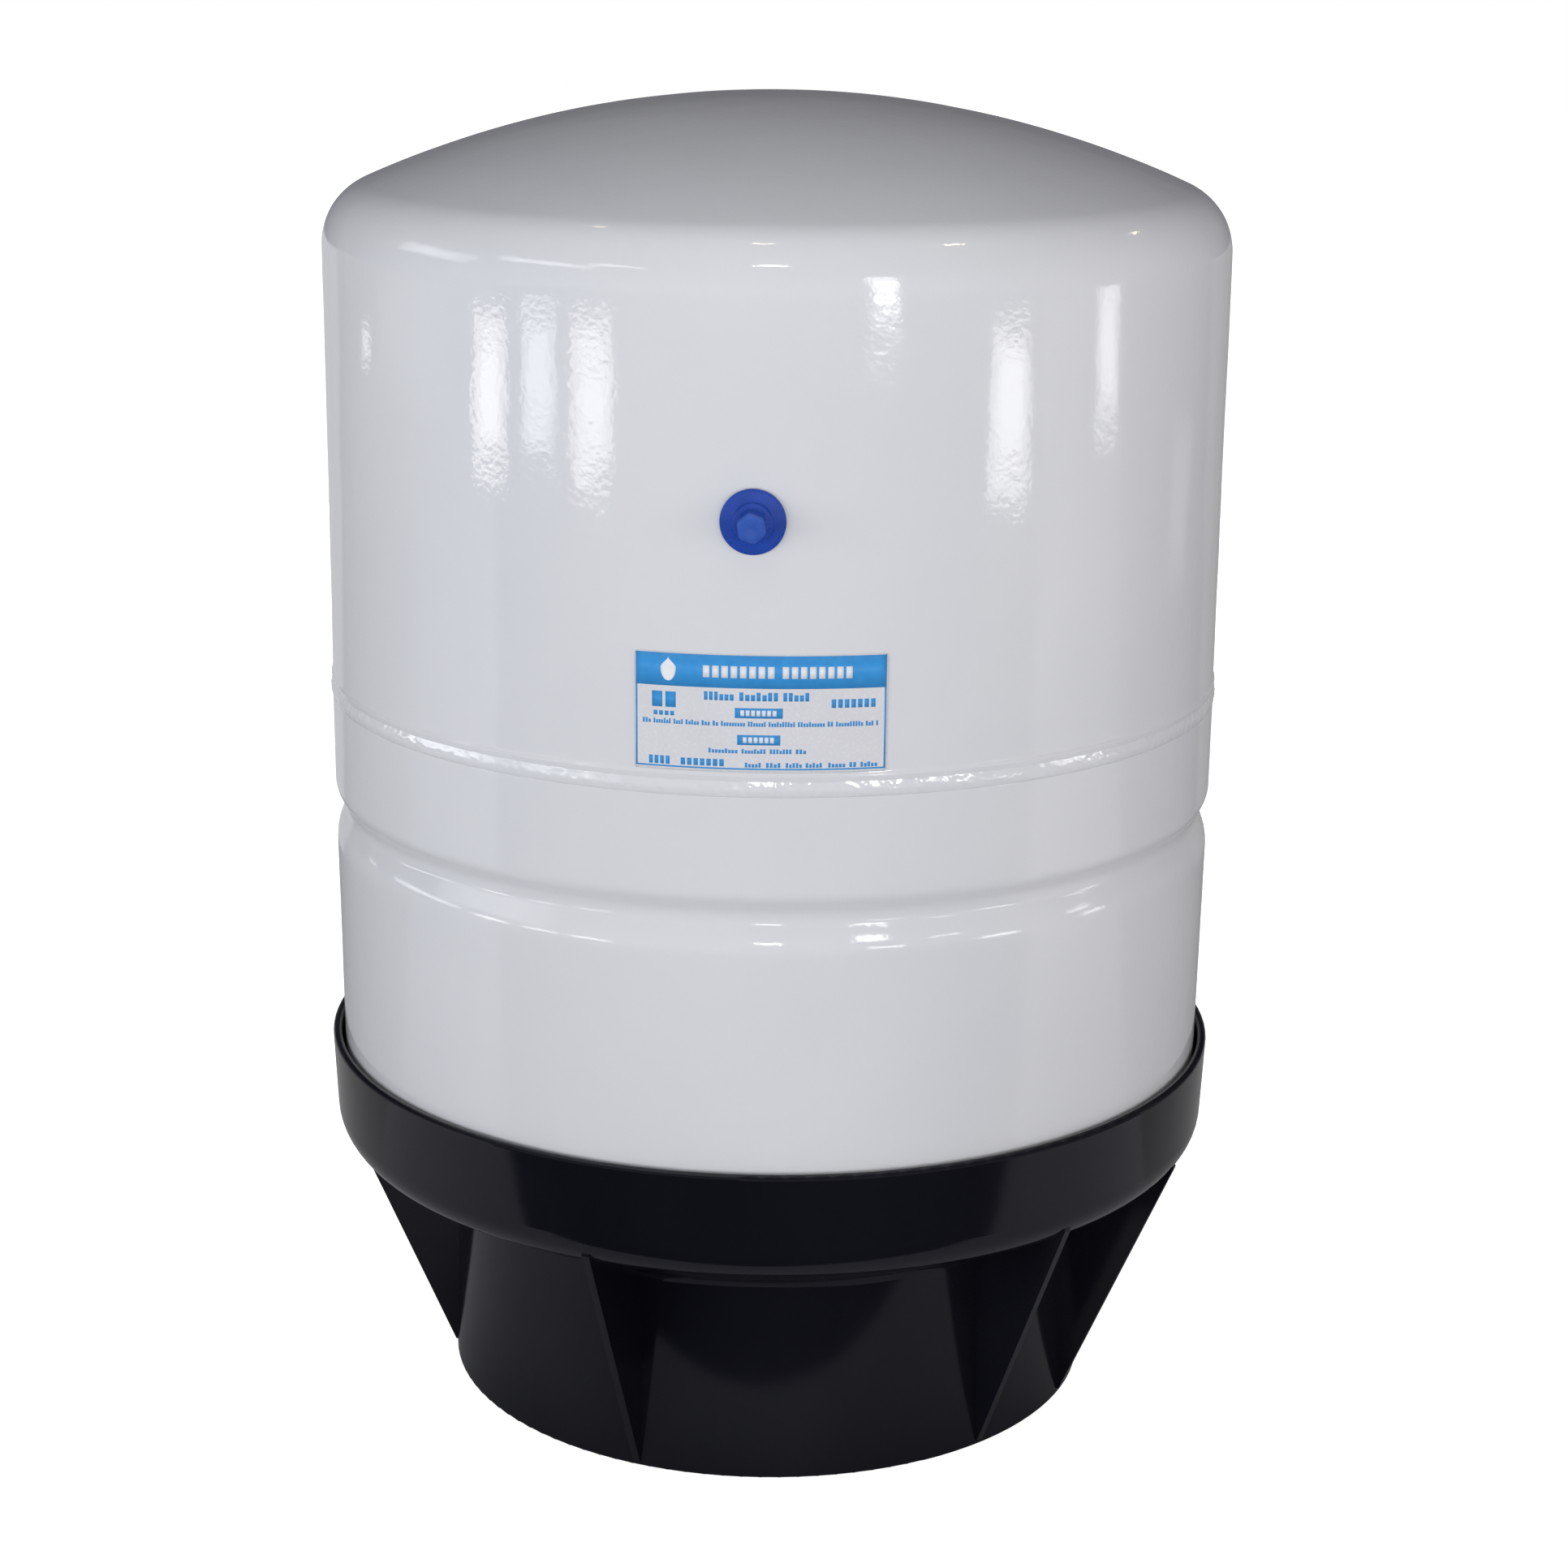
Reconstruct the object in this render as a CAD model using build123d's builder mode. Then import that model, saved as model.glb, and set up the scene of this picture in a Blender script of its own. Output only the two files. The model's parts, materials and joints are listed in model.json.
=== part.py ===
from build123d import *
import os
from math import asin, atan2, cos, degrees, radians, sin, sqrt

# Pressurised diaphragm water storage tank on a moulded stand. Millimetres, +Z up.
# The origin is on the tank's axis, on the floor. The air valve faces -Y, the water pipe +Y.

# Clearance between pieces that are pushed or screwed together.
fit_gap = 0.05

# ---- Driving dimensions: steel tank ----
tank_radius = 178.0
band_radius = 178.2
lower_radius = 177.0
shell_wall = 1.5
knuckle_radius = 26.0
crown_radius = 400.0
upper_tangent_z = 468.0
lower_tangent_z = 126.0
taper_end_z = 150.0
taper_end_radius = 60.0

# Lap joint half way up: the lower shell is stepped inwards and slides into the upper one.
lap_gap = 0.1
lap_top_z = 306.0
lip_z = 296.4
lip_bulge_z = 298.8
lip_bulge = 0.7
lip_end_z = 303.0
lip_radii = [1.6, 6.0]
step_top_z = 292.8
step_bottom_z = 291.0
step_radii = [1.2, 1.5]
bead_outline = [
    (177.1, 292.35),
    (176.45, 293.35),
    (176.45, 296.3),
    (177.8, 296.3),
    (177.75, 294.8),
    (177.5, 293.4),
]

# Rolled groove that locks the inner ring in place.
groove_top_z = 252.6
groove_z = 245.0
groove_radius = 173.2
groove_shoulder_z = 233.5
groove_radii = [8.0, 7.0, 18.0]

# ---- Driving dimensions: inside the tank ----
layer_gap = 0.2
liner_wall = 1.5
diaphragm_wall = 2.5
clamp_top_z = 274.0
clamp_bottom_z = 256.0
ring_wall = 1.5
ring_lip = 4.0

# ---- Driving dimensions: water connection ----
sump_radius = 46.0
sump_floor_radius = 39.0
sump_floor_z = 62.0
sump_corner_radius = 4.0
port_hole_radius = 17.0
stub_radius = 16.6
water_bore = 10.0
flange_radius = 31.0
flange_thickness = 3.0
slot_width = 3.0
slot_depth = 1.5
slot_count = 3
gasket_thickness = 1.5
washer_radius = 28.0
washer_thickness = 2.0
nut_flats = 46.0
nut_height = 9.0
nut_chamfer_height = 1.2
nut_chamfer_width = 2.0
stub_end_z = 38.5
pipe_z = 26.0
elbow_radius = 15.5
elbow_bend = 20.0
socket_radius = 21.0
socket_top_z = 50.4
socket_depth = 14.0
socket_chamfer = 1.5
elbow_gasket_space = 2.0
elbow_gasket_lip = 1.0
elbow_end_y = 62.0
pipe_socket_radius = 18.5
pipe_socket_length = 16.0
pipe_socket_depth = 15.0
pipe_socket_chamfer = 1.2
pipe_insertion = 14.8
pipe_radius = 13.22
pipe_end_y = 186.0
thread_length = 18.0
pipe_hex_flats = 30.0
pipe_hex_width = 9.0

# ---- Driving dimensions: stand ----
rim_top_z = 147.5
rim_radius = 182.0
stand_wall = 3.6
rim_edge_radius = 1.7
foot_edge_radius = 0.8
band_foot_radius = 180.1
band_foot_z = 107.0
band_foot_rounding = 15.0
skirt_top_radius = 131.0
skirt_top_z = 83.0
skirt_top_rounding = 5.0
skirt_foot_radius = 133.0
rib_top_radius = 177.9
rib_top_z = 110.0
rib_lip_radius = 179.0
rib_lip_z = 108.5
rib_lip_rounding = 2.0
rib_foot_radius = 133.6
rib_foot_z = 2.0
rib_root_radius = 129.0
rib_root_z = 83.4
rib_root_drift = 2.0
rib_thickness = 3.0
rib_angles = (-82.6, -20.1, 42.4, 68.4, 130.9, 229.1)
arch_width = 46.0
arch_height = 50.0
arch_cut_start = 100.0
arch_cut_depth = 45.0

# ---- Driving dimensions: air valve ----
valve_z = 390.5
bush_radius = 6.0
bush_depth = 6.5
bush_face = 0.2
bush_weld_size = 1.6
bush_weld_gap = 0.3
stem_gasket_edge = 0.8
stem_root_radius = 3.9
stem_radius = 3.85
stem_length = 11.2
stem_chamfer = 0.5
stem_hex_flats = 9.0
stem_hex_bottom = 0.6
stem_hex_top = 2.0
stem_inner_end = -7.5
stem_throat_radius = 2.1
core_bore_radius = 2.65
core_bore_start = 3.0
cap_running_gap = 0.05
cap_flange_radius = 11.7
cap_flange_bottom = 0.35
cap_flange_edge = 1.5
cap_collar_radius = 7.0
cap_cone_top = 2.2
cap_collar_top = 3.8
cap_hex_flats = 9.4
cap_hex_turn = 39.0
cap_length = 13.6
cap_ceiling = 12.4
cap_skirt_gap = 0.3
cap_skirt_radius = 5.6
cap_dish_depth = 1.5
cap_dish_radius = 6.8
cap_edge_width = 1.0
cap_edge_round = 0.5
cap_seal_radius = 3.7
cap_seal_hole = 1.6

# ---- Driving dimensions: valve core, heights counted from the shell's face ----
core_floor = 5.5
core_radius = 2.15
core_head_radius = 2.6
core_bore_wall = 0.7
core_hole_radius = 0.95
core_shoulder_height = 1.7
core_recess = 0.9
core_gasket_edge = 0.1
pin_radius = 0.7
pin_foot_radius = 1.8
pin_foot_drop = 1.3
pin_foot_thickness = 0.55
pin_collar_radius = 1.75
pin_collar_drop = 1.5
pin_collar_thickness = 0.4
pin_recess = 0.2
pin_chamfer = 0.25
spring_wire = 0.3
spring_radius = 1.4
spring_turns = 5

# ---- Driving dimensions: label ----
label_thickness = 0.15
label_gap = 0.05
label_lip_margin = 0.2
label_lip_lift = 0.02
label_bottom_z = 300.0
label_top_z = 343.0
label_start_angle = -13.6
label_end_angle = 15.6

os.makedirs("parts", exist_ok=True)

valve_face = Plane(origin=(0, -tank_radius, valve_z), x_dir=(1, 0, 0), z_dir=(0, -1, 0))
valve_section = Plane(origin=(0, -tank_radius, valve_z), x_dir=(1, 0, 0), z_dir=(0, 0, -1))
valve_axis = Axis((0, -tank_radius, valve_z), (0, -1, 0))


def save(piece, name):
    """Labels a finished piece and writes it as one STEP file."""
    piece.label = name
    export_step(piece, f"parts/{name}.step")


def turn(outline, section=Plane.XZ, axis=Axis.Z):
    """Turns a closed outline, given as (radius, height) points, about an axis."""
    with BuildSketch(section) as profile:
        with BuildLine():
            Polyline(*outline, close=True)
        make_face()
    revolve(profile.sketch, axis=axis)


def turn_at_valve(outline):
    """Turns an outline of (radius, distance out of the shell) points about the valve's axis."""
    turn(outline, section=valve_section, axis=valve_axis)


def radial_plane(angle):
    """Upright plane through the tank's axis. The angle is counted from -Y towards +X."""
    outward = (sin(radians(angle)), -cos(radians(angle)), 0)
    sideways = (-cos(radians(angle)), -sin(radians(angle)), 0)
    return Plane(origin=(0, 0, 0), x_dir=outward, z_dir=sideways)


def head_rise(radius):
    """Height from a head's tangent line to its crown's centre."""
    return sqrt((crown_radius - knuckle_radius) ** 2 - (radius - knuckle_radius) ** 2)


def head_turn(radius):
    """Angle that a head's knuckle turns through before the crown takes over."""
    return degrees(atan2(head_rise(radius), radius - knuckle_radius))


def lower_line(start, start_radii, crown_end):
    """Outside line of the lower half, from its top, over the groove, to a radius on the crown."""
    line_points = [
        *start,
        (band_radius, groove_top_z),
        (groove_radius, groove_z),
        (tank_radius, groove_shoulder_z),
        (lower_radius, taper_end_z),
        (lower_radius, lower_tangent_z),
    ]
    FilletPolyline(*line_points, radius=[*start_radii, *groove_radii, taper_end_radius])
    knuckle_turn = head_turn(lower_radius)
    crown_centre_z = lower_tangent_z + head_rise(lower_radius)
    crown_turn = 90 - knuckle_turn - degrees(asin(crown_end / crown_radius))
    CenterArc((lower_radius - knuckle_radius, lower_tangent_z), knuckle_radius, 0, -knuckle_turn)
    CenterArc((0, crown_centre_z), crown_radius, -knuckle_turn, -crown_turn)


def crown_z(radius):
    """Height of the lower crown's outside face at a radius."""
    return lower_tangent_z + head_rise(lower_radius) - sqrt(crown_radius**2 - radius**2)


def sump_line(hole_radius):
    """Line from the lower crown down into the sump and in to the port hole."""
    sump_points = [
        (sump_radius, crown_z(sump_radius)),
        (sump_floor_radius, sump_floor_z),
        (hole_radius, sump_floor_z),
    ]
    FilletPolyline(*sump_points, radius=sump_corner_radius)


def layer_inside(base_line, inset, thickness):
    """Outline of a layer of the given thickness that follows a line at an inset from it."""
    faces = [
        offset(base_line, amount=depth, side=Side.RIGHT, closed=False, mode=Mode.PRIVATE)
        for depth in (inset, inset + thickness)
    ]
    add(faces)
    near, far = [Wire(face.edges()).vertices().sort_by(Axis.Y) for face in faces]
    Line(near[0], far[0])
    Line(near[-1], far[-1])


# ================= Tank shells =================

with BuildPart() as upper_shell:
    with BuildSketch(Plane.XZ):
        with BuildLine():
            FilletPolyline(
                (tank_radius + lap_gap, lip_z),
                (tank_radius + lip_bulge, lip_bulge_z),
                (tank_radius, lip_end_z),
                (tank_radius, upper_tangent_z),
                radius=lip_radii,
            )
            CenterArc(
                (tank_radius - knuckle_radius, upper_tangent_z),
                knuckle_radius,
                0,
                head_turn(tank_radius),
            )
            CenterArc(
                (0, upper_tangent_z - head_rise(tank_radius)),
                crown_radius,
                head_turn(tank_radius),
                90 - head_turn(tank_radius),
            )
            offset(amount=shell_wall, side=Side.LEFT, closed=True)
        make_face()
    revolve(axis=Axis.Z)
    with BuildSketch(valve_face):
        Circle(bush_radius + fit_gap)
    extrude(amount=bush_depth, both=True, mode=Mode.SUBTRACT)
save(upper_shell.part, "upper_shell")

lap_radius = tank_radius - shell_wall - lap_gap
with BuildPart() as lower_shell:
    with BuildSketch(Plane.XZ):
        with BuildLine():
            lower_line(
                [(lap_radius, lap_top_z), (lap_radius, step_top_z), (band_radius, step_bottom_z)],
                step_radii,
                sump_radius,
            )
            sump_line(port_hole_radius)
            offset(amount=shell_wall, side=Side.RIGHT, closed=True)
        make_face()
    revolve(axis=Axis.Z)
save(lower_shell.part, "lower_shell")

# The weld bead lies in the notch between the upper lip and the step.
with BuildPart() as seam_weld:
    turn(bead_outline)
save(seam_weld.part, "seam_weld")

# ================= Inside the tank =================

with BuildLine() as lined_face:
    lower_line([(band_radius, clamp_top_z)], [], sump_radius)
    sump_line(port_hole_radius)
with BuildPart() as liner:
    with BuildSketch(Plane.XZ):
        with BuildLine():
            layer_inside(lined_face.wire(), shell_wall + layer_gap, liner_wall)
        make_face()
    revolve(axis=Axis.Z)
save(liner.part, "liner")

# The diaphragm lies down on the liner, as the air charge holds it in an empty tank.
diaphragm_inset = shell_wall + liner_wall + 2 * layer_gap
with BuildLine() as dished_face:
    lower_line([(band_radius, clamp_top_z)], [], 0)
with BuildPart() as diaphragm:
    with BuildSketch(Plane.XZ):
        with BuildLine():
            layer_inside(dished_face.wire(), diaphragm_inset, diaphragm_wall)
        make_face()
    revolve(axis=Axis.Z)
save(diaphragm.part, "diaphragm")

ring_radius = band_radius - diaphragm_inset - diaphragm_wall - layer_gap
ring_outline = [
    (ring_radius, clamp_top_z),
    (ring_radius - ring_lip, clamp_top_z),
    (ring_radius - ring_lip, clamp_top_z - ring_wall),
    (ring_radius - ring_wall, clamp_top_z - ring_wall),
    (ring_radius - ring_wall, clamp_bottom_z + ring_wall),
    (ring_radius - ring_lip, clamp_bottom_z + ring_wall),
    (ring_radius - ring_lip, clamp_bottom_z),
    (ring_radius, clamp_bottom_z),
]
with BuildPart() as clench_ring:
    turn(ring_outline)
save(clench_ring.part, "clench_ring")

# ================= Water connection =================

liner_top_z = sump_floor_z + shell_wall + layer_gap + liner_wall
nozzle_gasket_z = liner_top_z + fit_gap
flange_z = nozzle_gasket_z + gasket_thickness
flange_top_z = flange_z + flange_thickness

with BuildPart() as nozzle_gasket:
    with BuildSketch(Plane.XY.offset(nozzle_gasket_z)):
        Circle(flange_radius)
        Circle(port_hole_radius, mode=Mode.SUBTRACT)
    extrude(amount=gasket_thickness)
save(nozzle_gasket.part, "nozzle_gasket")

# Slots across the flange keep the port open when the diaphragm lies on it.
with BuildPart() as water_nozzle:
    with BuildSketch(Plane.XY.offset(flange_z)):
        Circle(flange_radius)
    extrude(amount=flange_thickness)
    with BuildSketch(Plane.XY.offset(stub_end_z)):
        Circle(stub_radius)
    extrude(amount=flange_z - stub_end_z)
    with BuildSketch(Plane.XY.offset(stub_end_z)):
        Circle(water_bore)
    extrude(amount=flange_top_z - stub_end_z, mode=Mode.SUBTRACT)
    with BuildSketch(Plane.XY.offset(flange_top_z - slot_depth)):
        with PolarLocations(0, slot_count, angular_range=180):
            Rectangle(3 * flange_radius, slot_width)
    extrude(amount=slot_depth, mode=Mode.SUBTRACT)
save(water_nozzle.part, "water_nozzle")

washer_z = sump_floor_z - fit_gap - washer_thickness
with BuildPart() as port_washer:
    with BuildSketch(Plane.XY.offset(washer_z)):
        Circle(washer_radius)
        Circle(port_hole_radius, mode=Mode.SUBTRACT)
    extrude(amount=washer_thickness)
save(port_washer.part, "port_washer")

nut_z = washer_z - fit_gap - nut_height
with BuildPart() as lock_nut:
    with BuildSketch(Plane.XY.offset(nut_z)):
        RegularPolygon(radius=nut_flats / 2, side_count=6, major_radius=False)
        Circle(stub_radius + fit_gap, mode=Mode.SUBTRACT)
    extrude(amount=nut_height)
    nut_end = lock_nut.faces().sort_by(Axis.Z)[0]
    chamfer(nut_end.outer_wire().edges(), length=nut_chamfer_height, length2=nut_chamfer_width)
save(lock_nut.part, "lock_nut")

with BuildPart() as elbow:
    with BuildLine(Plane.YZ) as elbow_path:
        FilletPolyline((0, socket_top_z), (0, pipe_z), (elbow_end_y, pipe_z), radius=elbow_bend)
    with BuildSketch(Plane.XY.offset(socket_top_z)):
        Circle(elbow_radius)
    sweep(path=elbow_path.wire())
    with BuildSketch(Plane.XY.offset(socket_top_z)):
        Circle(socket_radius)
    extrude(amount=-socket_depth)
    with BuildSketch(Plane.XZ.offset(-elbow_end_y)):
        with Locations((0, pipe_z)):
            Circle(pipe_socket_radius)
    extrude(amount=pipe_socket_length)
    chamfer(elbow.edges().group_by(Axis.Z)[-1], length=socket_chamfer)
    chamfer(elbow.edges().group_by(Axis.Y)[-1], length=pipe_socket_chamfer)
    with BuildSketch(Plane.XY.offset(socket_top_z)):
        Circle(water_bore)
    sweep(path=elbow_path.wire(), mode=Mode.SUBTRACT)
    with BuildSketch(Plane.XY.offset(socket_top_z)):
        Circle(stub_radius + fit_gap)
    extrude(amount=stub_end_z - elbow_gasket_space - socket_top_z, mode=Mode.SUBTRACT)
    with BuildSketch(Plane.XZ.offset(-elbow_end_y)):
        with Locations((0, pipe_z)):
            Circle(pipe_radius + fit_gap)
    extrude(amount=pipe_socket_depth, mode=Mode.SUBTRACT)
save(elbow.part, "elbow")

with BuildPart() as elbow_gasket:
    with BuildSketch(Plane.XY.offset(stub_end_z - elbow_gasket_space + fit_gap)):
        Circle(stub_radius)
        Circle(water_bore + elbow_gasket_lip, mode=Mode.SUBTRACT)
    extrude(amount=elbow_gasket_space - 2 * fit_gap)
save(elbow_gasket.part, "elbow_gasket")

pipe_start_y = elbow_end_y - pipe_insertion
pipe_hex_y = pipe_end_y - thread_length - pipe_hex_width
with BuildPart() as outlet_pipe:
    with BuildSketch(Plane.XZ.offset(-pipe_start_y)):
        with Locations((0, pipe_z)):
            Circle(pipe_radius)
    extrude(amount=pipe_start_y - pipe_end_y)
    with BuildSketch(Plane.XZ.offset(-pipe_hex_y)):
        with Locations((0, pipe_z)):
            RegularPolygon(radius=pipe_hex_flats / 2, side_count=6, major_radius=False)
    extrude(amount=-pipe_hex_width)
    with BuildSketch(Plane.XZ.offset(-pipe_start_y)):
        with Locations((0, pipe_z)):
            Circle(water_bore)
    extrude(amount=pipe_start_y - pipe_end_y, mode=Mode.SUBTRACT)
save(outlet_pipe.part, "outlet_pipe")

# ================= Stand =================

with BuildPart() as base_stand:
    with BuildSketch(Plane.XZ) as stand_profile:
        with BuildLine():
            FilletPolyline(
                (rim_radius, rim_top_z + 1),
                (band_foot_radius, band_foot_z),
                (skirt_top_radius, skirt_top_z),
                (skirt_foot_radius, -1),
                radius=[band_foot_rounding, skirt_top_rounding],
            )
            offset(amount=stand_wall, side=Side.RIGHT, closed=True)
        make_face()
        with Locations((0, rim_top_z / 2)):
            Rectangle(3 * rim_radius, rim_top_z, mode=Mode.INTERSECT)
        fillet(stand_profile.vertices().group_by(Axis.Y)[-1], radius=rim_edge_radius)
        fillet(stand_profile.vertices().group_by(Axis.Y)[0], radius=foot_edge_radius)
    revolve(axis=Axis.Z)
    for rib_angle in rib_angles:
        with BuildSketch(radial_plane(rib_angle)):
            with BuildLine():
                rib_edge = FilletPolyline(
                    (rib_top_radius, rib_top_z),
                    (rib_lip_radius, rib_lip_z),
                    (rib_foot_radius, rib_foot_z),
                    radius=[rib_lip_rounding],
                )
                Polyline(
                    rib_edge @ 1,
                    (rib_root_radius + rib_root_drift, rib_foot_z),
                    (rib_root_radius, rib_root_z),
                    rib_edge @ 0,
                )
            make_face()
        extrude(amount=rib_thickness / 2, both=True)
    with BuildSketch(Plane.XZ.offset(-arch_cut_start)):
        with BuildLine():
            jambs = Polyline(
                (-arch_width / 2, arch_height - arch_width / 2),
                (-arch_width / 2, -1),
                (arch_width / 2, -1),
                (arch_width / 2, arch_height - arch_width / 2),
            )
            ThreePointArc(jambs @ 1, (0, arch_height), jambs @ 0)
        make_face()
    extrude(amount=-arch_cut_depth, mode=Mode.SUBTRACT)
save(base_stand.part, "base_stand")

# ================= Air valve =================

bush_hole = stem_root_radius + fit_gap
bush_outline = [
    (bush_hole, -bush_depth),
    (bush_radius, -bush_depth),
    (bush_radius, bush_face),
    (bush_hole, bush_face),
]
with BuildPart() as valve_bush:
    turn_at_valve(bush_outline)
save(valve_bush.part, "valve_bush")

weld_radius = bush_radius + fit_gap
weld_start = -shell_wall - bush_weld_gap
weld_outline = [
    (weld_radius, weld_start),
    (weld_radius, weld_start - bush_weld_size),
    (weld_radius + bush_weld_size, weld_start),
]
with BuildPart() as bush_weld:
    turn_at_valve(weld_outline)
save(bush_weld.part, "bush_weld")

stem_outline = [
    (stem_throat_radius, stem_inner_end),
    (stem_root_radius, stem_inner_end),
    (stem_root_radius, stem_hex_bottom),
    (stem_radius, stem_hex_bottom),
    (stem_radius, stem_length - stem_chamfer),
    (stem_radius - stem_chamfer, stem_length),
    (core_bore_radius, stem_length),
    (core_bore_radius, core_bore_start),
    (stem_throat_radius, core_bore_start),
]
with BuildPart() as valve_stem:
    turn_at_valve(stem_outline)
    with BuildSketch(valve_face.offset(stem_hex_bottom)):
        RegularPolygon(radius=stem_hex_flats / 2, side_count=6, major_radius=False)
        Circle(core_bore_radius + stem_chamfer, mode=Mode.SUBTRACT)
    extrude(amount=stem_hex_top - stem_hex_bottom)
save(valve_stem.part, "valve_stem")

gasket_outline = [
    (bush_hole, bush_face + fit_gap),
    (bush_radius - stem_gasket_edge, bush_face + fit_gap),
    (bush_radius - stem_gasket_edge, stem_hex_bottom - fit_gap),
    (bush_hole, stem_hex_bottom - fit_gap),
]
with BuildPart() as stem_gasket:
    turn_at_valve(gasket_outline)
save(stem_gasket.part, "stem_gasket")

# The core is a small cartridge: a barrel, a spring-loaded pin and a seal on the pin's foot.
core_top = stem_length - core_recess
core_bore = core_head_radius - core_bore_wall
core_barrel_outline = [
    (core_hole_radius, core_floor),
    (core_radius, core_floor),
    (core_radius, core_floor + core_shoulder_height),
    (core_head_radius, core_floor + core_shoulder_height),
    (core_head_radius, core_top),
    (core_bore, core_top),
    (core_bore, core_floor + core_bore_wall),
    (core_hole_radius, core_floor + core_bore_wall),
]
with BuildPart() as core_barrel:
    turn_at_valve(core_barrel_outline)
save(core_barrel.part, "core_barrel")

core_gasket_outline = [
    (core_radius + fit_gap, core_floor + core_gasket_edge),
    (core_head_radius, core_floor + core_gasket_edge),
    (core_head_radius, core_floor + core_shoulder_height - core_gasket_edge),
    (core_radius + fit_gap, core_floor + core_shoulder_height - core_gasket_edge),
]
with BuildPart() as core_gasket:
    turn_at_valve(core_gasket_outline)
save(core_gasket.part, "core_gasket")

pin_foot_bottom = core_floor - pin_foot_drop
pin_foot_top = pin_foot_bottom + pin_foot_thickness
pin_collar_bottom = stem_length - pin_collar_drop
pin_collar_top = pin_collar_bottom + pin_collar_thickness
pin_top = stem_length - pin_recess
core_pin_outline = [
    (0, pin_foot_bottom),
    (pin_foot_radius, pin_foot_bottom),
    (pin_foot_radius, pin_foot_top),
    (pin_radius, pin_foot_top),
    (pin_radius, pin_collar_bottom),
    (pin_collar_radius, pin_collar_bottom),
    (pin_collar_radius, pin_collar_top),
    (pin_radius, pin_collar_top),
    (pin_radius, pin_top - pin_chamfer),
    (pin_radius - pin_chamfer, pin_top),
    (0, pin_top),
]
with BuildPart() as core_pin:
    turn_at_valve(core_pin_outline)
save(core_pin.part, "core_pin")

core_seal_outline = [
    (pin_radius + fit_gap, pin_foot_top + fit_gap),
    (pin_collar_radius, pin_foot_top + fit_gap),
    (pin_collar_radius, core_floor - fit_gap),
    (pin_radius + fit_gap, core_floor - fit_gap),
]
with BuildPart() as core_seal:
    turn_at_valve(core_seal_outline)
save(core_seal.part, "core_seal")

spring_bottom = core_floor + core_bore_wall + spring_wire / 2 + fit_gap
spring_height = pin_collar_bottom - spring_wire / 2 - fit_gap - spring_bottom
with BuildPart() as core_spring:
    with BuildLine() as spring_path:
        Helix(
            pitch=spring_height / spring_turns,
            height=spring_height,
            radius=spring_radius,
            center=(0, -tank_radius - spring_bottom, valve_z),
            direction=(0, -1, 0),
        )
    coil = spring_path.line
    with BuildSketch(Plane(origin=coil @ 0, z_dir=coil % 0)):
        Circle(spring_wire / 2)
    sweep(path=spring_path.wire(), is_frenet=True)
save(core_spring.part, "core_spring")

# ---- Cap: a dished flange, a round collar and a hexagon, with a threaded bore ----
cap_bore_radius = stem_radius + cap_running_gap
cap_skirt_end = stem_hex_top + cap_skirt_gap
cap_body_outline = [
    (0, cap_collar_top),
    (cap_collar_radius - cap_edge_round, cap_collar_top),
    (cap_collar_radius, cap_collar_top - cap_edge_round),
    (cap_collar_radius, cap_cone_top),
    (cap_flange_radius - cap_edge_round, cap_flange_edge + cap_edge_round / 2),
    (cap_flange_radius, cap_flange_edge - cap_edge_round / 2),
    (cap_flange_radius, cap_flange_bottom),
    (cap_flange_radius - cap_edge_width, cap_flange_bottom),
    (cap_dish_radius, cap_dish_depth),
    (cap_skirt_radius, cap_dish_depth),
    (cap_skirt_radius, cap_skirt_end),
    (0, cap_skirt_end),
]
with BuildPart() as valve_cap:
    turn_at_valve(cap_body_outline)
    with BuildSketch(valve_face.offset(cap_collar_top - cap_edge_round)):
        RegularPolygon(
            radius=cap_hex_flats / 2, side_count=6, major_radius=False, rotation=cap_hex_turn
        )
    extrude(amount=cap_length - cap_collar_top + cap_edge_round)
    cap_end = valve_cap.faces().sort_by(valve_axis)[-1]
    chamfer(cap_end.edges(), length=cap_edge_round)
    with BuildSketch(valve_face):
        Circle(cap_bore_radius)
    extrude(amount=cap_ceiling, mode=Mode.SUBTRACT)
save(valve_cap.part, "valve_cap")

cap_seal_outline = [
    (cap_seal_hole, stem_length + fit_gap),
    (cap_seal_radius, stem_length + fit_gap),
    (cap_seal_radius, cap_ceiling - fit_gap),
    (cap_seal_hole, cap_ceiling - fit_gap),
]
with BuildPart() as cap_seal:
    turn_at_valve(cap_seal_outline)
save(cap_seal.part, "cap_seal")

# ================= Label =================

label_radius = tank_radius + label_gap
label_face = label_radius + label_thickness
lip_slope = lip_bulge * (lip_end_z - label_bottom_z) / (lip_end_z - lip_bulge_z)
with BuildPart() as label:
    with BuildSketch(radial_plane(label_start_angle)):
        with BuildLine():
            Polyline(
                (label_radius + lip_slope, label_bottom_z),
                (label_radius + label_lip_lift, lip_end_z + label_lip_margin),
                (label_radius, label_top_z),
                (label_face, label_top_z),
                (label_face + label_lip_lift, lip_end_z + label_lip_margin),
                (label_face + lip_slope, label_bottom_z),
                close=True,
            )
        make_face()
    revolve(axis=Axis.Z, revolution_arc=label_end_angle - label_start_angle)
save(label.part, "label")
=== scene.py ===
import json
import math
import random

import bmesh
import bpy
from mathutils import Matrix, Vector, noise


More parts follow.
